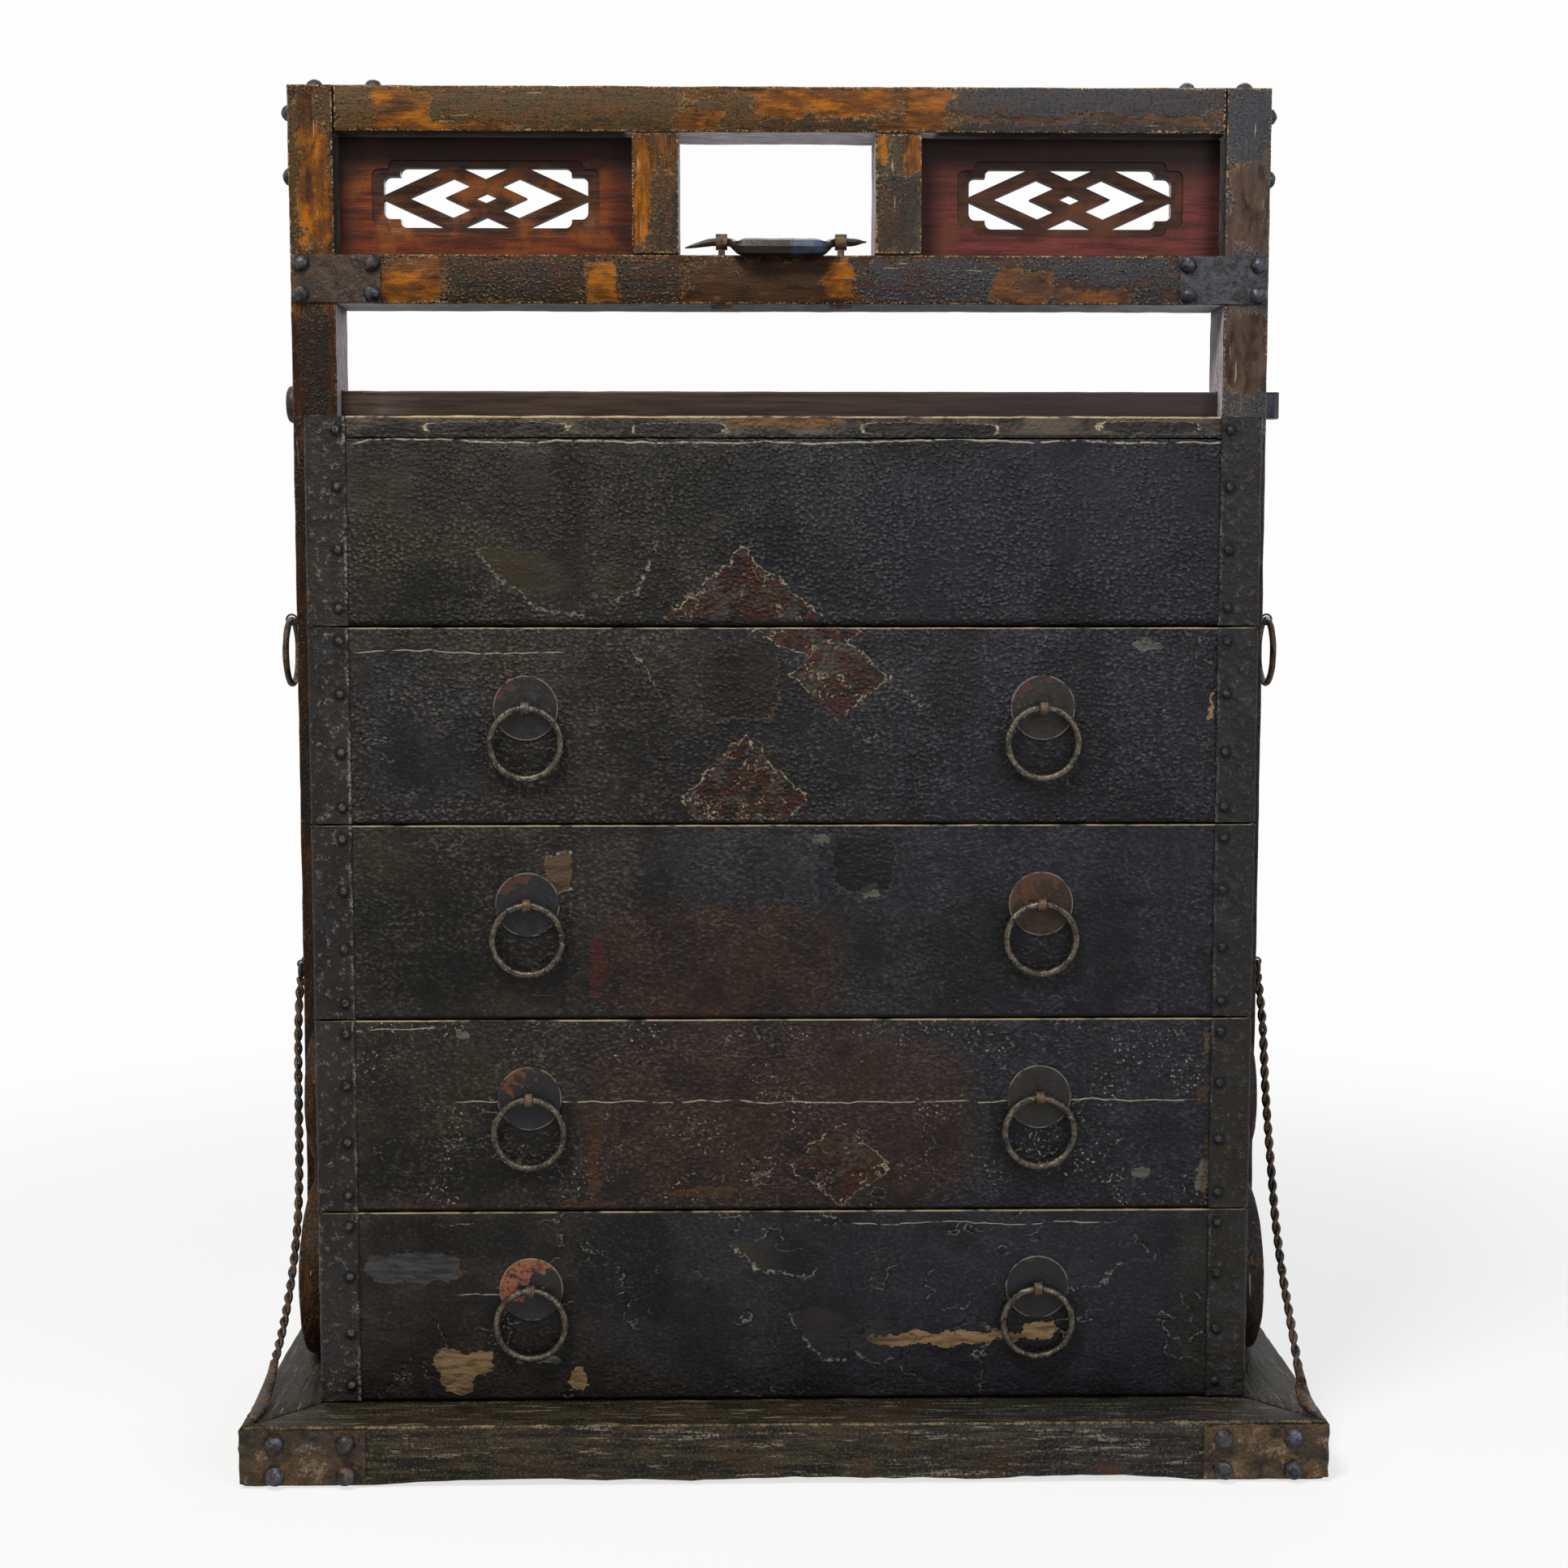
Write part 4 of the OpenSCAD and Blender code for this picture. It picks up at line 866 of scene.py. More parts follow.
for node, (axis, *look) in TIMBERS.items():
    low, high = [list(corner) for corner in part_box(node)]
    post = node.startswith("upright")
    if post:
        low[2] = BASE_TOP
    elif axis == 0:
        low[0], high[0] = -POST_IN + 0.0001, POST_IN - 0.0001
    obj = block(node + "_worn", low, high)
    with picked(obj, "EDGE", lambda edge: span(edge, axis) > 0.02):
        bpy.ops.mesh.bevel(offset=0.003, segments=2, affect="EDGES")
    soften(obj, 0.0008, 1, angle=60)
    slice_up(obj, axis, 0.013)
    weather(obj, 0.0018, 0.03)
    if post:
        slot = block("slot", (-0.6, -0.0094, 1.0421), (0.6, 0.0174, 1.0709))
        modify(obj, "BOOLEAN", object=slot, operation="DIFFERENCE", solver="EXACT")
        bpy.data.objects.remove(slot)
    finished(obj, "frame", node, frame_wood(node, low, high, axis, *look))
print("timbers:", list(TIMBERS))

# %% [markdown]
# ## Fretwork panels
# A panel is a board with a sunk, cusped band and two crossing lozenges cut right through. The
# packed outline is already exact, so a merged copy of it is taken and every edge is softened
# as a knife and fingers leave it.

# %% Panels
def panel_finish(name, low, high, shift, pale, dark, warm):
    """Red-brown lacquer, bare in the sunk band, with painted shade at its brink and a painted shadow under
    the top rail.
    """
    f = Finish(name + "_lacquer", shift)
    grain = f.cloud(0.005, 0, (12, 1, 1), detail=5, rough=0.6)
    fine = f.cloud(0.002, 3, detail=2)
    f.colour = f.mix(grain.soft(0.3, 0.66), pale, dark)
    sunk = f.y.soft(low[1] + 0.0008, low[1] + 0.0016)
    brink = f.y.soft(low[1] + 0.00005, low[1] + 0.0003) * f.y.soft(low[1] + 0.0019, low[1] + 0.0014)
    f.lay(sunk * 0.85, f.mix(grain.soft(0.35, 0.65), "#38230f", "#1a1008"))
    f.lay(f.cloud(0.05, 2).soft(0.5, 0.66) * 0.6, warm)
    f.lay(fine.soft(0.44, 0.3) * 0.5, "#160a07")
    # Painted shadow under the top rail, darker towards the panel's ends, and painted shade along the brink
    # of the sunk band
    f.lay(f.z.soft(1.272, 1.318) * 0.9, "#110906")
    f.lay((f.x - low[0]).low(high[0] - f.x).soft(0.03, 0.004) * 0.55, "#170c09")
    f.lay(brink * 0.9, "#0f0805")
    return f.surface(0.4 + (fine - 0.5) * 0.3, (grain - 0.5) * 0.0005 + (fine - 0.5) * 0.0003, gloss=0.14)


PANELS = {"left": (31, "#6b2e16", "#38180b", "#7a4319"), "right": (34, "#68302b", "#3c1d1a", "#563321")}
for side, look in PANELS.items():
    node = f"panel_{side}"
    obj = traced(node + "_carved", node)
    soften(obj, 0.0012, angle=50)
    finished(obj, "frame", node, panel_finish(node, *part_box(node), *look), angle=20)

# %% Spandrels
SPANDREL_WOOD = {"left": ("#4c2f12", "#211408"), "right": ("#2f1c0e", "#120b06")}
for number, (side, wood) in enumerate(SPANDREL_WOOD.items()):
    for end in (0, 1):
        node = f"spandrel_{side}_" + ("front", "rear")[end]
        obj = traced(node + "_worn", node)
        soften(obj, 0.003, angle=50)
        slice_up(obj, 2, 0.016)
        weather(obj, 0.0015, 0.03)
        finish = frame_wood(node, *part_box(node), 2, 41 + 5 * number + 2 * end, wood,
                            ("#1f160b", "#0f0a06"), 0.54)
        finished(obj, "frame", node, finish)
print("panels and spandrels carved")

# %% [markdown]
# ## Iron on the frame
# Thin straps hold the top corners, and four plates cover the joints of the lower rail. They are
# sheet iron, so they are blocks 1.5 mm thick, beaten like the base straps.

# %% Frame straps, plates and nails
FRAME_TOP, PLATE_Z = 1.3795, 1.1825
legs, plates, places = [], [], []
for s in (-1, 1):
    for axis, x0, x1, z0, z1 in ((0, POST_OUT - 0.096, POST_OUT + SHEET, FRAME_TOP, FRAME_TOP + SHEET),
                                 (2, POST_OUT, POST_OUT + SHEET, FRAME_TOP - 0.1, FRAME_TOP)):
        x0, x1 = sorted((s * x0, s * x1))
        legs.append(block("leg", (x0, -0.024, z0), (x1, 0.024, z1)))
        soften(legs[-1], 0.0005, 1)
        slice_up(legs[-1], axis, 0.008)
    for y in (-0.014, 0.014):
        places += [((s * (POST_OUT - x), y, FRAME_TOP + SUNK), (0, 0, 1)) for x in (0.026, 0.0865)]
        places += [((s * (POST_OUT + SUNK), y, FRAME_TOP - z), (s, 0, 0)) for z in (0.026, 0.0905)]
    for e in (-1, 1):
        (x0, x1), (y0, y1) = sorted((s * 0.506, s * 0.414)), sorted((e * 0.036, e * (0.036 + SHEET)))
        plates.append(block("plate", (x0, y0, PLATE_Z - 0.025), (x1, y1, PLATE_Z + 0.025)))
        soften(plates[-1], 0.0006)
        slice_up(plates[-1], 0, 0.007)
        slice_up(plates[-1], 2, 0.007)
        for x in (0.4965, 0.4235):
            places += [((s * x, e * (0.036 + SUNK), PLATE_Z + z), (0, e, 0)) for z in (-0.0155, 0.0155)]

legs = joined("top_straps_forged", legs)
weather(legs, 0.001, 0.016, level=0.6)
finished(legs, "frame", "top_corner_straps", IRON)
plates = joined("joint_plates_forged", plates)
weather(plates, 0.0028, 0.013, level=0.7)
finished(plates, "frame", "joint_plates", PLATE)
nail_set("frame_nails", places, 0.0088, 0.0074)

# %% [markdown]
# ## Trays and lid
# A box is four boards glued into a ring. The ring is a block without its top and bottom, given
# its thickness inwards. Only the outer upright edges are rounded. Then the rims are softened and
# worn a little, inwards only, so that the boxes still clear each other by a hair.

# %% Boxes
BOXES = ("lid", "tray_1", "tray_2", "tray_3", "tray_4")


def round_corners(obj, x, y, radius=0.006, near=0.001):
    """Round the upright edges that stand this far from the middle."""
    with picked(obj, "EDGE", lambda edge: span(edge) > 0.01 and abs(abs(middle(edge).x) - x) < near
                and abs(abs(middle(edge).y) - y) < near):
        bpy.ops.mesh.bevel(offset=radius, segments=4, affect="EDGES")


def round_foot(obj, low, high, radius, corner=0.006):
    """Round the outer lower arris: cut rows across, then draw each in along a quarter circle."""
    cut(obj, 2, [low[2] + radius * part for part in (0.12, 0.35, 0.65, 1.0)])
    core = (high[0] - corner, high[1] - corner)
    for point in (v.co for v in obj.data.vertices):
        past = [max(abs(point[i]) - core[i], 0.0) for i in (0, 1)]
        reach, rise = math.hypot(*past), max(point.z - low[2], 0.0)
        if rise >= radius or reach < corner * 0.6:
            continue
        inset = radius - math.sqrt(radius ** 2 - (radius - rise) ** 2)
        for i in (0, 1):
            if past[i]:
                size = core[i] + past[i] * max(reach - inset, 0.0) / reach
                point[i] = math.copysign(size, point[i])


finishes = {}
for number, body in enumerate(BOXES):
    node = f"{body}_walls"
    low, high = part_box(node)
    obj = block(node + "_worn", low, high)
    with picked(obj, "FACE", lambda face: abs(face.normal.z) > 0.9):
        bpy.ops.mesh.delete(type="FACE")
    modify(obj, "SOLIDIFY", thickness=BOARD, offset=-1, use_even_offset=True)
    round_corners(obj, high[0], high[1])
    soften(obj, 0.0008)
    round_foot(obj, low, high, 0.0045 if body == "lid" else 0.0028)
    slice_up(obj, 0, 0.012)
    slice_up(obj, 1, 0.03)
    weather(obj, 0.0014, 0.022)
    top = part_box("lid_top")[1][2] if body == "lid" else high[2]
    finishes[body] = box_lacquer(body, low, (high[0], high[1], top), 51.0 + 6 * number)
    finished(obj, body, node, finishes[body])

# %% Lid board and tray floors
def bare_wood():
    """Unpainted boards, for the floors of the trays."""
    f = Finish("bare_wood")
    figure = f.cloud(0.009, 3, (14, 1, 1), detail=5, rough=0.6)
    f.colour = f.mix(figure.soft(0.3, 0.7), "#6a523a", "#40301f")
    f.lay(f.cloud(0.07, 5).soft(0.45, 0.7) * 0.6, "#3a2a20")
    return f.surface(0.62 + (figure - 0.5) * 0.2, (figure - 0.5) * 0.0005, gloss=0.3)


def dress(node, material):
    """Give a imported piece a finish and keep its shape."""
    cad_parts[node].data.materials.clear()
    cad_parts[node].data.materials.append(material)


low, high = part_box("lid_top")
board = block("lid_board_worn", low, high)
round_corners(board, high[0], high[1])
with picked(board, "EDGE", lambda edge: middle(edge).z > high[2] - 0.001
            and sum(face.normal.z > 0.9 for face in edge.link_faces) == 1):
    bpy.ops.mesh.bevel(offset=0.004, segments=3, affect="EDGES")
slice_up(board, 0, 0.012)
slice_up(board, 1, 0.03)
weather(board, 0.002, 0.025)
finished(board, "lid", "lid_top", finishes["lid"])

floor_wood = bare_wood()
for n in (1, 2, 3, 4):
    dress(f"tray_{n}_floor", floor_wood)
print("boxes:", BOXES)

# %% [markdown]
# ## Corner strips
# Thin iron is folded round every upright corner and lacquered over. One L is modelled for each
# box, mirrored to the other corners, and given its small, sunken nails.

# %% Strips
# How far the nails of the strips are from the middle
STRIP_NAIL_X = 0.4277


def strip_finish(name, shift, levels):
    """Thin lacquered iron; each of its nails, at these levels, has a painted shadow round a painted
    highlight on its head.
    """
    f = Finish(name, shift)
    lumps = f.cloud(0.008)
    fine = f.cloud(0.0028, 1, rough=0.65)
    drift = f.cloud(0.05, 2, (1, 1, 2))
    cool = f.x.soft(-0.2, 0.3)
    f.colour = f.mix(drift.soft(0.35, 0.65), "#2a2521", "#1c1917")
    f.lay(cool * 0.7, f.mix(f.z.soft(0.6, 0.3), "#1c1c1f", "#181813"))
    f.lay(f.cloud(0.03, 4).soft(0.5, 0.7) * 0.5, "#2a2c30")
    f.lay(fine.soft(0.46, 0.3) * 0.75, "#070707")
    f.lay(lumps.soft(0.54, 0.66) * fine.soft(0.42, 0.62) * (0.75 - cool * 0.5), "#6f6a63")
    f.lay(f.cloud(0.006, 6).soft(0.62, 0.72) * 0.6, "#4a3220")
    # The strip's inner edge: a painted shadow line along the step, and beside it a broken painted highlight
    # on the ridge
    lip = abs(f.x) + (f.cloud(0.03, 8, (9, 9, 1)) - 0.5) * 0.006
    here = f.cloud(0.02, 12, (1, 1, 2)).soft(0.46, 0.58) * (0.8 - cool * 0.5)
    f.lay(abs(lip - 0.4188).soft(0.002, 0.0006) * 0.7, "#070707")
    f.lay(abs(lip - 0.4205).soft(0.0022, 0.0006) * fine.soft(0.4, 0.58) * here, "#77766f")
    wavy = f.x + (fine - 0.5) * 0.003
    # Painted shadow round each nail head, and a painted highlight on it just above its middle
    for z in levels:
        off_x, off_z = abs(wavy) - STRIP_NAIL_X, f.z - z
        around = (off_x * off_x + off_z * off_z).soft(0.0092 ** 2, 0.0056 ** 2)
        nail_highlight = (off_x * off_x + (off_z - 0.0012) * (off_z - 0.0012)).soft(0.0038 ** 2, 0.0016 ** 2)
        f.lay(around * 0.7, "#0b0a09")
        f.lay(nail_highlight * fine.soft(0.4, 0.6) * 0.45, f.mix(cool, "#6c675e", "#4c4c52"))
    return f.surface(0.4 + (fine - 0.5) * 0.35, (lumps - 0.5) * 0.0024 + (fine - 0.5) * 0.0009,
                     metal=0.05, gloss=0.15)


def corner_strip(low, high, width=0.0412, thick=0.0012):
    """The strip at the front left corner of a box."""
    obj = block("strip", low, (low[0] + width, low[1] + width, high[2]))
    with picked(obj, "FACE", lambda face: max(face.normal.x, face.normal.y, abs(face.normal.z)) > 0.5):
        bpy.ops.mesh.delete(type="FACE")
    modify(obj, "SOLIDIFY", thickness=thick, offset=-1, use_even_offset=True)
    round_corners(obj, -low[0], -low[1], 0.0065, near=0.002)
    for axis, step in ((2, 0.007), (0, 0.009), (1, 0.009)):
        slice_up(obj, axis, step)
    return obj


for body in BOXES:
    node = f"{body}_corner_strips"
    low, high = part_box(node)
    levels = [low[2] + (high[2] - low[2]) * part for part in (0.08, 0.36, 0.66, 0.93)]
    pieces = [corner_strip(low, high)]
    for i, z in enumerate(levels):
        pieces += [nail((low[0] + 0.0315, low[1] + 0.0008, z), (0, -1, 0), 0.0054, 0.0034, i),
                   nail((low[0] + 0.0008, low[1] + 0.028, z + 0.004), (-1, 0, 0), 0.0042, 0.002, i)]
    strips = four_corners(node + "_folded", joined("corner", pieces))
    weather(strips, 0.002, 0.011, level=0.75)
    finished(strips, body, node, strip_finish(f"{body}_strip_iron", 8.0 + low[2] * 9, levels), angle=30)
print("corner strips folded")

# %% [markdown]
# ## Rings, backplates and eyes
# Each tray is drawn out by two iron rings. A ring is a hand-closed hoop, so it is a torus that
# noise has made a little uneven. It hangs in a strap eye whose shank goes through a round plate.

# %% Rings
RING_X, RING_Y = 0.25, -0.243
UPRIGHT, SIDEWAYS = (math.radians(90), 0, 0), (0, math.radians(90), 0)


def hoop(name, place, turn, radius=0.034, thick=0.0035, around=64, across=14):
    """A closed ring of round wire."""
    return added(name, bpy.ops.mesh.primitive_torus_add, major_segments=around,
                 minor_segments=across, major_radius=radius, minor_radius=thick,
                 location=place, rotation=turn)


def ring(node, x, y, turn, material):
    """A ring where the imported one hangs."""
    low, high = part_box(node)
    obj = hoop(node + "_hoop", (x, y, (low[2] + high[2]) / 2), turn)
    weather(obj, 0.0007, 0.012, level=0.7)
    finished(obj, node + "_body", node, material, angle=80)


for side, s in SIDES:
    ring(f"side_ring_{side}", s * 0.52, 0, SIDEWAYS, BRASSY)
    for n in (1, 2, 3, 4):
        ring(f"tray_{n}_ring_{side}", s * RING_X, RING_Y, UPRIGHT, BRIGHT)

# %% Backplates and strap eyes
PLATE_R, FRONT = 0.0315, -0.235


def plate_iron(name, shift, x, z, light, dark, rust, peel):
    """A lacquered plate whose upper part has rusted through, with a rubbed rim."""
    f = Finish(name, shift)
    pits = f.cloud(0.0035, rough=0.65)
    drift = f.cloud(0.014, 2, rough=0.65)
    f.colour = f.mix(drift.soft(0.35, 0.65), light, dark)
    off_x, off_z = f.x - x, f.z - z
    eaten = drift + (f.cloud(0.02, 5) - 0.5) * 0.6 + off_z * 7 - off_x * 5
    torn = eaten.soft(1.02 - peel, 1.08 - peel)
    f.lay(torn * 0.85, f.mix(pits.soft(0.35, 0.65), rust, "#4a2a1c"))
    f.lay(pits.soft(0.45, 0.32) * 0.6, "#0c0b0a")
    f.lay(pits.soft(0.66, 0.74) * 0.4, "#77706a")
    rim = (off_x * off_x + off_z * off_z).soft(0.0298 ** 2, 0.0306 ** 2)
    f.lay(rim * drift.soft(0.4, 0.55) * 0.6, "#77716a")
    return f.surface(0.42 + torn * 0.2 + (pits - 0.5) * 0.25,
                     torn * -0.0003 + (pits - 0.5) * 0.0006 + (drift - 0.5) * 0.001, metal=0.1)


def mount(x, z, plate_material):
    """A round plate, and an eye strap that wraps the ring's wire and is clenched inside."""
    disc = added("disc", bpy.ops.mesh.primitive_cylinder_add, vertices=48, radius=PLATE_R,
                 depth=SHEET, location=(x, FRONT - SHEET / 2, z), rotation=UPRIGHT)
    with picked(disc, "FACE", lambda face: face.normal.y < -0.9):
        for thickness in (0.006, 0.008, 0.008):
            bpy.ops.mesh.inset(thickness=thickness)
    soften(disc, 0.0004, 1)
    disc.data.materials.append(plate_material)
    eye = added("eye", bpy.ops.mesh.primitive_cylinder_add, vertices=24, radius=0.0064, depth=0.008,
                location=(x, RING_Y, z), rotation=SIDEWAYS, end_fill_type="NOTHING")
    modify(eye, "SOLIDIFY", thickness=0.002, offset=-1)
    shank = block("shank", (x - 0.0039, RING_Y + 0.0051, z - 0.0022), (x + 0.0039, -0.217, z + 0.0022))
    clench = block("clench", (x - 0.0039, -0.2169, z - 0.0118), (x + 0.0039, -0.2151, z + 0.0118))
    for piece, width in ((eye, 0.0004), (shank, 0.0005), (clench, 0.0005)):
        soften(piece, width, 1)
        piece.data.materials.append(BRASSY)
    return [disc, eye, shank, clench]


# Each tray's left and right plate: lacquer, its darker tone, rust, and how far it has peeled
PLATES = (
    (("#2a2929", "#211e1b", "#342b22", 0.26), ("#2c2724", "#221f1c", "#392d24", 0.26)),
    (("#242428", "#1f1d1b", "#402d21", 0.32), ("#33271e", "#231c18", "#463423", 0.46)),
    (("#222225", "#1e1c1b", "#6b4028", 0.36), ("#282623", "#1f1d1c", "#40362a", 0.26)),
    (("#232224", "#1f1d1c", "#9a6348", 0.54), ("#1d1d20", "#1b1b1c", "#332e29", 0.2)))
for n, pair in enumerate(PLATES, 1):
    node = f"tray_{n}_ring_mounts"
    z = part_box(node)[1][2] - PLATE_R
    pieces = []
    for (side, s), look in zip(SIDES, pair):
        pieces += mount(s * RING_X, z, plate_iron(
            f"plate_{n}_{side}", 70.0 + 7.4 * n + 3.7 * s, s * RING_X, z, *look))
    finished(joined(node + "_forged", pieces), f"tray_{n}", node)
print("rings and their mounts:", 2 * len(PLATES) + 2, "rings")

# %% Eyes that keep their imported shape
for node, material in (("side_ring_eyes", BRASSY), ("stay_eyes", IRON), ("bail_eyes", BRASSY)):
    dress(node, material)

# %% [markdown]
# ## The bail handle
# The bail is one forged bar: a thick eight-sided grip, drawn out thin through both eyes and
# ending in two pointed horns. A path with a different radius at each point gives the whole
# forging in one piece.

# %% Bail
EYE_Y, EYE_Z, HANG = -0.026, 1.2219, math.radians(22)


def wire(name, points, radii, smooth=1):
    """A bar along a path, with its own radius at each point; a smooth of 1 keeps the corners."""
    only()
    bpy.ops.curve.primitive_nurbs_path_add()
    curve = bpy.context.object.data
    curve.splines.clear()
    spline = curve.splines.new("NURBS" if smooth > 1 else "POLY")
    spline.points.add(len(points) - 1)
    for point, place, radius in zip(spline.points, points, radii):
        point.co, point.radius = (*place, 1.0), radius
    spline.use_endpoint_u = True
    if smooth > 1:
        spline.order_u = 4
    spline.resolution_u = smooth
    curve.dimensions = "3D"
    curve.bevel_depth = 1.0
    curve.bevel_resolution = 2
    curve.use_fill_caps = True
    bpy.ops.object.convert(target="MESH")
    obj = bpy.context.object
    obj.name = obj.data.name = name
    with picked(obj, "VERT"):
        bpy.ops.mesh.remove_doubles(threshold=1e-5)
        bpy.ops.mesh.normals_make_consistent(inside=False)
    return obj


def hung(x, out, lift):
    """A point of the bail, in millimetres along, out from the line of the eyes and across that."""
    return (x * MM, EYE_Y - (out * math.cos(HANG) + lift * math.sin(HANG)) * MM,
            EYE_Z - (out * math.sin(HANG) - lift * math.cos(HANG)) * MM)


# Half of the grip and the arm through its eye, then both horns: along, out, across and radius
half = [(20, 22.5, 0, 9.6), (34, 22.5, 0, 9.6), (40.5, 22.2, 0, 9.2), (43.8, 21, 0, 7.4),
        (46.2, 18, 0, 5.8), (48.6, 12, 0, 5.0), (50.8, 5, 0, 4.7), (53.5, 0.8, 0, 4.5),
        (58, 0, 0, 4.4), (66, 0, 0, 4.4), (71.8, 0, 0, 4.4)]
left_horn = [(-78, 0.2, -1.2, 4.0), (-87, 0.6, -3.2, 2.9), (-95.5, 1, -5, 1.6), (-100, 1, -6, 0.9)]
right_horn = [(76.5, 0.2, 0.2, 3.9), (81.5, 0.4, 0.4, 3.0), (83.8, 0.4, 0.4, 1.6), (88.8, 0.6, 0.6, 0.9)]
rows = left_horn[::-1] + [(-row[0], *row[1:]) for row in half[::-1]]
rows += [(0, 22.5, 0, 9.6)] + half + right_horn
bail = wire("bail_forged", [hung(*row[:3]) for row in rows], [row[3] * MM for row in rows], smooth=4)
weather(bail, 0.0008, 0.012, level=0.7)


def bail_iron():
    """Dark iron with rust, and a bluish patch on the grip, a painted sheen on slightly more metallic iron.
    """
    f = Finish("bail_iron")
    pits = f.cloud(0.0025, 3.3, rough=0.65)
    drift = f.cloud(0.02, 5, (2, 1, 1))
    f.colour = f.mix(drift.soft(0.35, 0.65), "#1e1913", "#110f0e")
    # Painted sheen: a bluish patch on part of the grip
    blue = f.x.soft(0.006, 0.014) * f.x.soft(0.05, 0.04)
    f.lay(drift.soft(0.45, 0.6) * (1 - blue) * 0.5, "#3a2817")
    f.lay(blue * 0.7, f.mix(drift.soft(0.4, 0.6), "#1c232d", "#3d4b5e"))
    f.lay(pits.soft(0.6, 0.72) * 0.5, "#6a5b48")
    return f.surface(0.4 + (pits - 0.5) * 0.4, (pits - 0.5) * 0.0005 + (drift - 0.5) * 0.001,
                     metal=0.1 + blue * 0.15, gloss=0.22)


finished(bail, "bail", "bail_handle", bail_iron())
print("the bail is", round((rows[-1][0] - rows[0][0]) * MM, 3), "metres long")

# %% [markdown]
# ## Twisted stays
# A stay is two iron wires laid round each other. Each wire is a helix wound on the stay's route,
# half a turn apart from its partner. The route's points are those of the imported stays, so both
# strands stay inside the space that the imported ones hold.

# %% Stays
STAY_X, STAY_TIP_Y, STAY_EYE_Z, STAY_EYE_Y = 0.5146, 0.284, 0.462, 0.012
STAY_DROP = {
    "left": [(270, 15), (260, 34), (251, 67), (247, 112), (245, 162), (242, 212), (233, 257),
             (212, 294), (182, 327), (144, 355), (98, 378)],
    "right": [(270, 15), (256, 38), (242, 67), (226, 127), (206, 176), (185, 223), (170, 254),
              (150, 283), (128, 309), (108, 328), (87, 349), (60, 378)]}
PITCH, STRAND_R, LAY_R, LOOP_R = 0.030, 0.00245, 0.00235, 0.007


def smooth_route(points, steps=12):
    """A dense smooth curve through the points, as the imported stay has."""
    out = []
    for i in range(len(points) - 1):
        a, b = points[max(i - 1, 0)], points[i]
        c, d = points[i + 1], points[min(i + 2, len(points) - 1)]
        for k in range(steps):
            t = k / steps
            out.append([0.5 * (2 * q + (r - p) * t + (2 * p - 5 * q + 4 * r - s) * t * t
                               + (3 * q - p - 3 * r + s) * t ** 3) for p, q, r, s in zip(a, b, c, d)])
    return out + [list(points[-1])]


def strand(name, route, phase):
    """One wire of the pair, at the front right corner."""
    run = [0.0]
    for a, b in zip(route, route[1:]):
        run.append(run[-1] + math.dist(a, b))
    count = round(run[-1] / PITCH * 12)
    points, i = [], 1
    for k in range(count + 1):
        s = run[-1] * k / count
        while run[i] < s and i < len(run) - 1:
            i += 1
        share, size = (s - run[i - 1]) / (run[i] - run[i - 1]), run[i] - run[i - 1]
        y, z = [p + (q - p) * share for p, q in zip(route[i - 1], route[i])]
        hy, hz = [(q - p) / size for p, q in zip(route[i - 1], route[i])]
        turn = 2 * math.pi * s / PITCH + phase
        out, side = LAY_R * math.cos(turn), LAY_R * math.sin(turn)
        points.append((STAY_X + out, -(y - side * hz), z + side * hy))
    print(name, "is", round(run[-1], 3), "metres long")
    return wire(name, points, [STRAND_R] * len(points))


def leaf(y, z):
    """The flattened end of a stay: thick where the wires end, broad on the base, and pointed."""
    rows = ((y, z, 4.4, 4.4), (y + 0.012, z - 0.007, 5.0, 4.0), (y + 0.4 * (0.252 - y), 0.0715, 6.2, 3.2),
            (0.246, 0.0645, 7.6, 2.6), (0.262, 0.0635, 7.2, 2.3), (0.276, 0.0633, 5.2, 2.2),
            (0.287, 0.0632, 2.6, 2.0))
    last = len(rows) - 1
    obj = added("leaf", bpy.ops.mesh.primitive_cylinder_add, vertices=16, radius=1, depth=1,
                rotation=UPRIGHT)
    cut(obj, 1, [0.5 - i / last for i in range(1, last)])
    for point in (v.co for v in obj.data.vertices):
        y, z, width, height = rows[round((0.5 - point.y) * last)]
        point.xyz = (STAY_X + point.x * width * MM, -y, z + point.z * height * MM)
    return obj


for side, s in SIDES:
    route = smooth_route([(STAY_TIP_Y - across * MM, STAY_EYE_Z - drop * MM)
                          for across, drop in STAY_DROP[side]])
    strands = [strand(name, route, phase) for name, phase in (("strand_a", 0.0), ("strand_b", math.pi))]
    loop = hoop("loop", (STAY_X, -STAY_EYE_Y, STAY_EYE_Z - LOOP_R), SIDEWAYS, LOOP_R, 0.0022, 32, 10)
    pattern = joined("stay_" + side, strands + [loop, leaf(*route[-1])])
    for end, e in (("front", 1), ("rear", -1)):
        node = f"stay_{side}_{end}"
        obj = twin(pattern, node + "_twisted", (s, e, 1))
        weather(obj, 0.0005, 0.01, level=0.7)
        finished(obj, "frame", node, STAYED, angle=50)
    bpy.data.objects.remove(pattern)

# %% [markdown]
# ## Locking bar
# The bar slides through both posts over the lid. It has a turned-looking round head at the left
# and a chamfered tail at the right; its faces are dark with handling.

# %% Bar
def bar_wood(low, high):
    """Dark wood with rubbed arrises, bluish at its right end."""
    f = Finish("locking_bar_wood")
    grain = f.cloud(0.004, 2.2, (18, 1, 1), detail=5, rough=0.6)
    f.colour = f.mix(grain.soft(0.3, 0.7), "#43352c", "#2a201c")
    f.lay(f.x.soft(-0.1, 0.35) * 0.6, "#322c30")
    f.lay(f.x.soft(0.505, 0.512) * 0.7, "#2f3742")
    f.lay(f.edge(low, high).soft(0.003, 0.001) * 0.5, "#54423a")
    return f.surface(0.42 + (f.cloud(0.002, 4, detail=2) - 0.5) * 0.25, (grain - 0.5) * 0.0004, gloss=0.15)


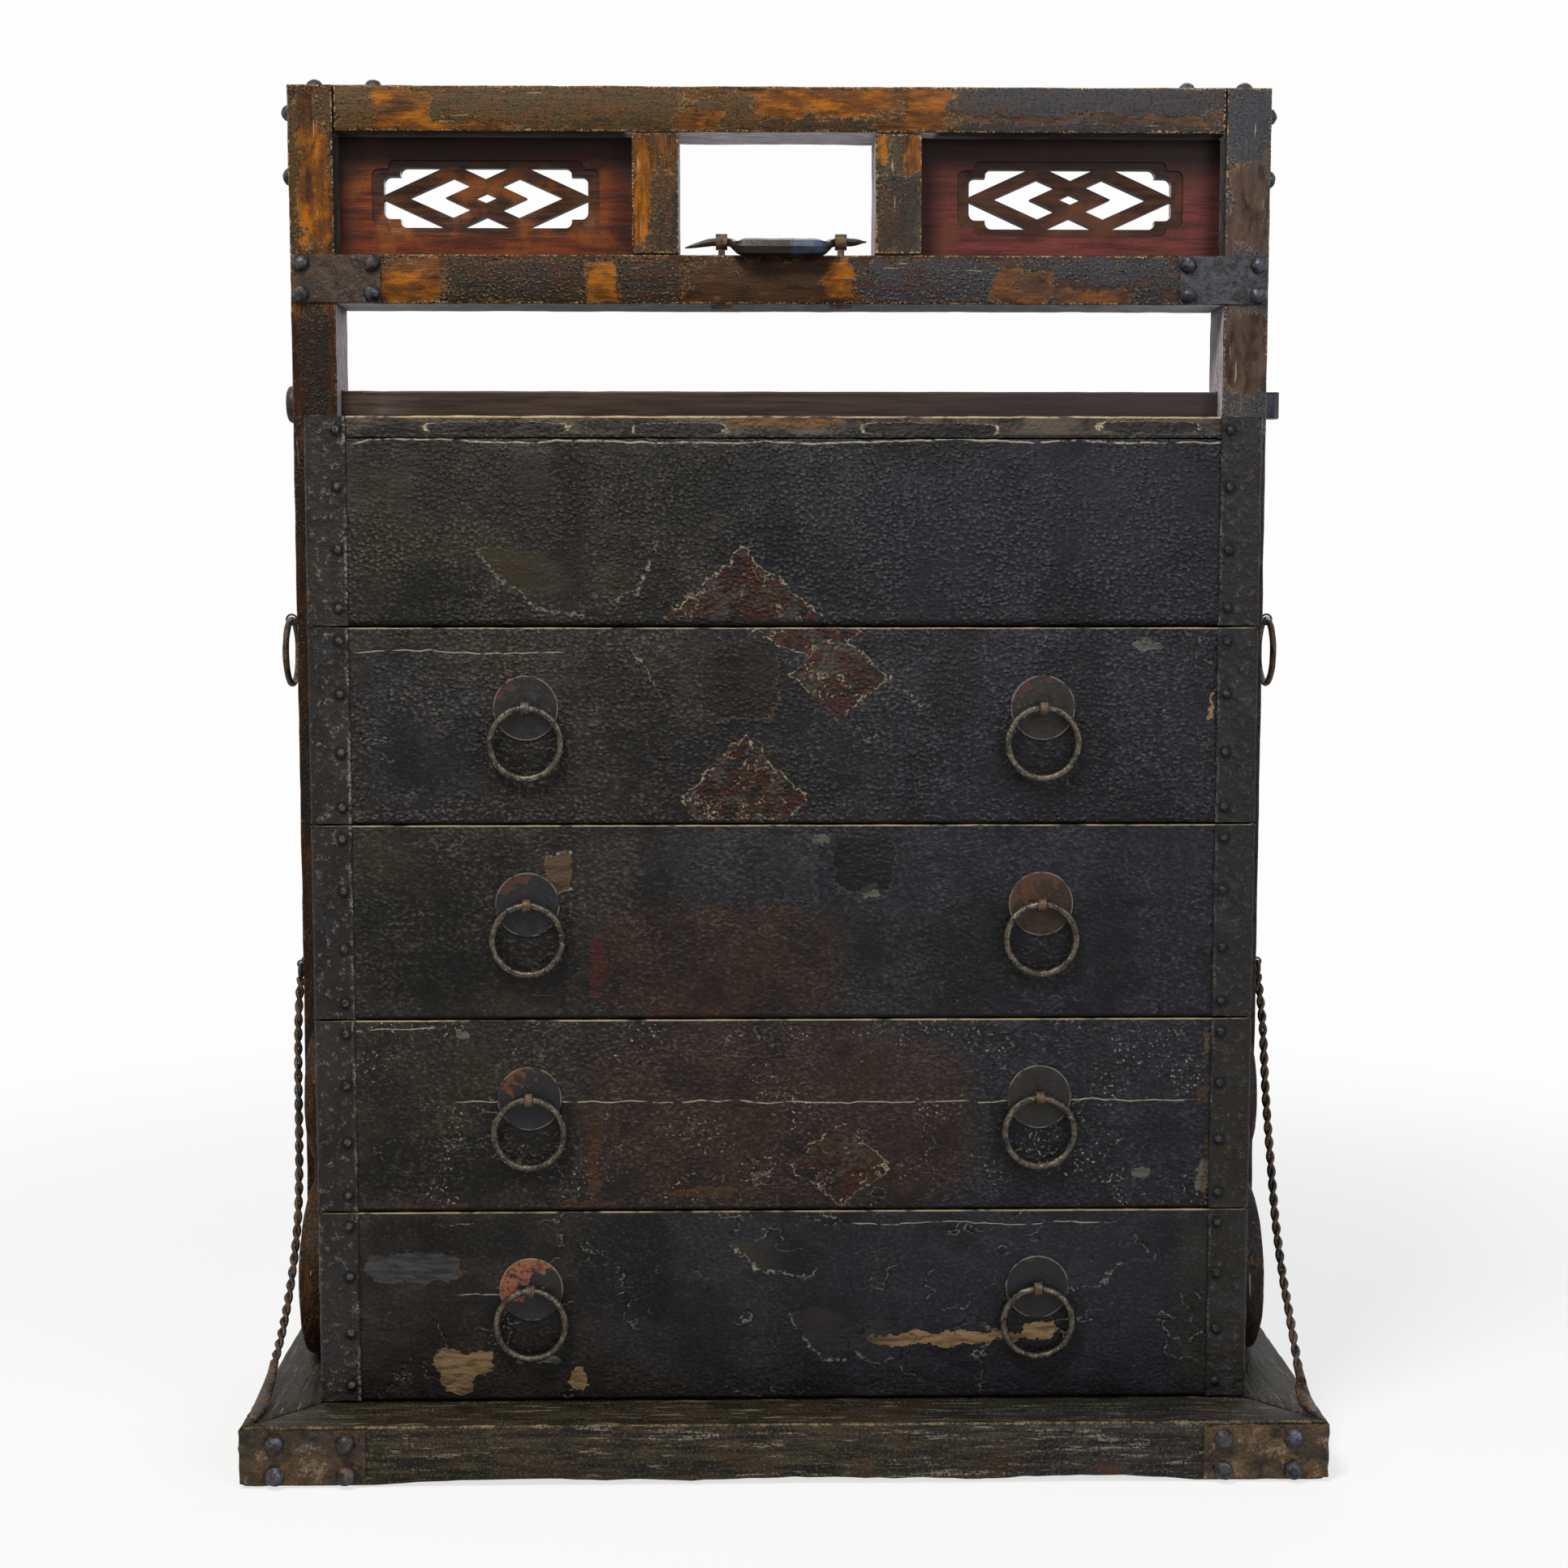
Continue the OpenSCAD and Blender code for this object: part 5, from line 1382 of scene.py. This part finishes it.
low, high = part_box("locking_bar")
bar = traced("locking_bar_worn", "locking_bar")
slice_up(bar, 0, 0.02)
weather(bar, 0.001, 0.03)
finish = bar_wood((low[0], -0.009, 1.0425), (high[0], 0.017, 1.0705))
finished(bar, "bar", "locking_bar", finish, angle=20)

# %% [markdown]
# ## Camera, floor and light
# The camera was solved from the photo together with the sizes. The floor and the world look
# white to the camera, while the lamps and a grey sky light the object at a plain level.

# %% Camera
camera = bpy.data.objects.new("camera", bpy.data.cameras.new("camera"))
bpy.context.scene.collection.objects.link(camera)
camera.data.sensor_width = 36.0
camera.data.lens = 51.86
camera.location = (-0.0386, -2.416, 0.8652)
camera.rotation_euler = (math.radians(85.0), 0, -math.radians(0.995))
bpy.context.scene.camera = camera

# %% Floor
WHITE = (0.985, 0.985, 0.985, 1)
ground = added("ground", bpy.ops.mesh.primitive_plane_add, size=30, location=(0, 0, -0.0005))
f = Finish("pale_floor")
diffuse = f.node("ShaderNodeBsdfDiffuse", {"Color": (0.86, 0.86, 0.86, 1)})
white = f.node("ShaderNodeEmission", {"Color": WHITE, "Strength": 1.0})
distance = f.node("ShaderNodeVectorMath", {0: f.place}, out="Value", operation="LENGTH")
shine = f.node("ShaderNodeLightPath", out="Is Camera Ray") * (0.72 + distance.soft(0.7, 2.2) * 0.28)
f.show(f.node("ShaderNodeMixShader", {0: shine, 1: diffuse, 2: white}))
ground.data.materials.append(f.material)

# %% World and lamps
world = bpy.data.worlds.new("studio")
bpy.context.scene.world = world
sky = Nodes(world)
camera_ray, glossy_ray, clear_ray = [sky.node("ShaderNodeLightPath", out=f"Is {kind} Ray")
                                     for kind in ("Camera", "Glossy", "Transmission")]
seen = camera_ray.high(glossy_ray).high(clear_ray)
grey = sky.node("ShaderNodeBackground", {"Color": (0.92, 0.95, 1.0, 1), "Strength": 0.24})
white = sky.node("ShaderNodeBackground", {"Color": WHITE})
sky.show(sky.node("ShaderNodeMixShader", {0: seen, 1: grey, 2: white}), "ShaderNodeOutputWorld")

for name, place, aim, size, power, tint in (
        ("key", (-0.9, -1.8, 3.3), (0, -0.2, 0.6), 0.9, 105, (1, 0.97, 0.93)),
        ("fill", (2.0, -2.5, 1.9), (0, -0.2, 0.7), 1.2, 34, (0.9, 0.94, 1)),
        ("back", (0.5, 2.6, 2.4), (0, 0, 0.8), 1.6, 25, (1, 1, 1))):
    lamp = bpy.data.lights.new(name, "AREA")
    lamp.size, lamp.energy, lamp.color = size, power, tint
    obj = bpy.data.objects.new(name, lamp)
    obj.location = place
    obj.rotation_euler = (Vector(aim) - Vector(place)).to_track_quat("-Z", "Y").to_euler()
    bpy.context.scene.collection.objects.link(obj)
bpy.context.scene.view_settings.view_transform = "Standard"
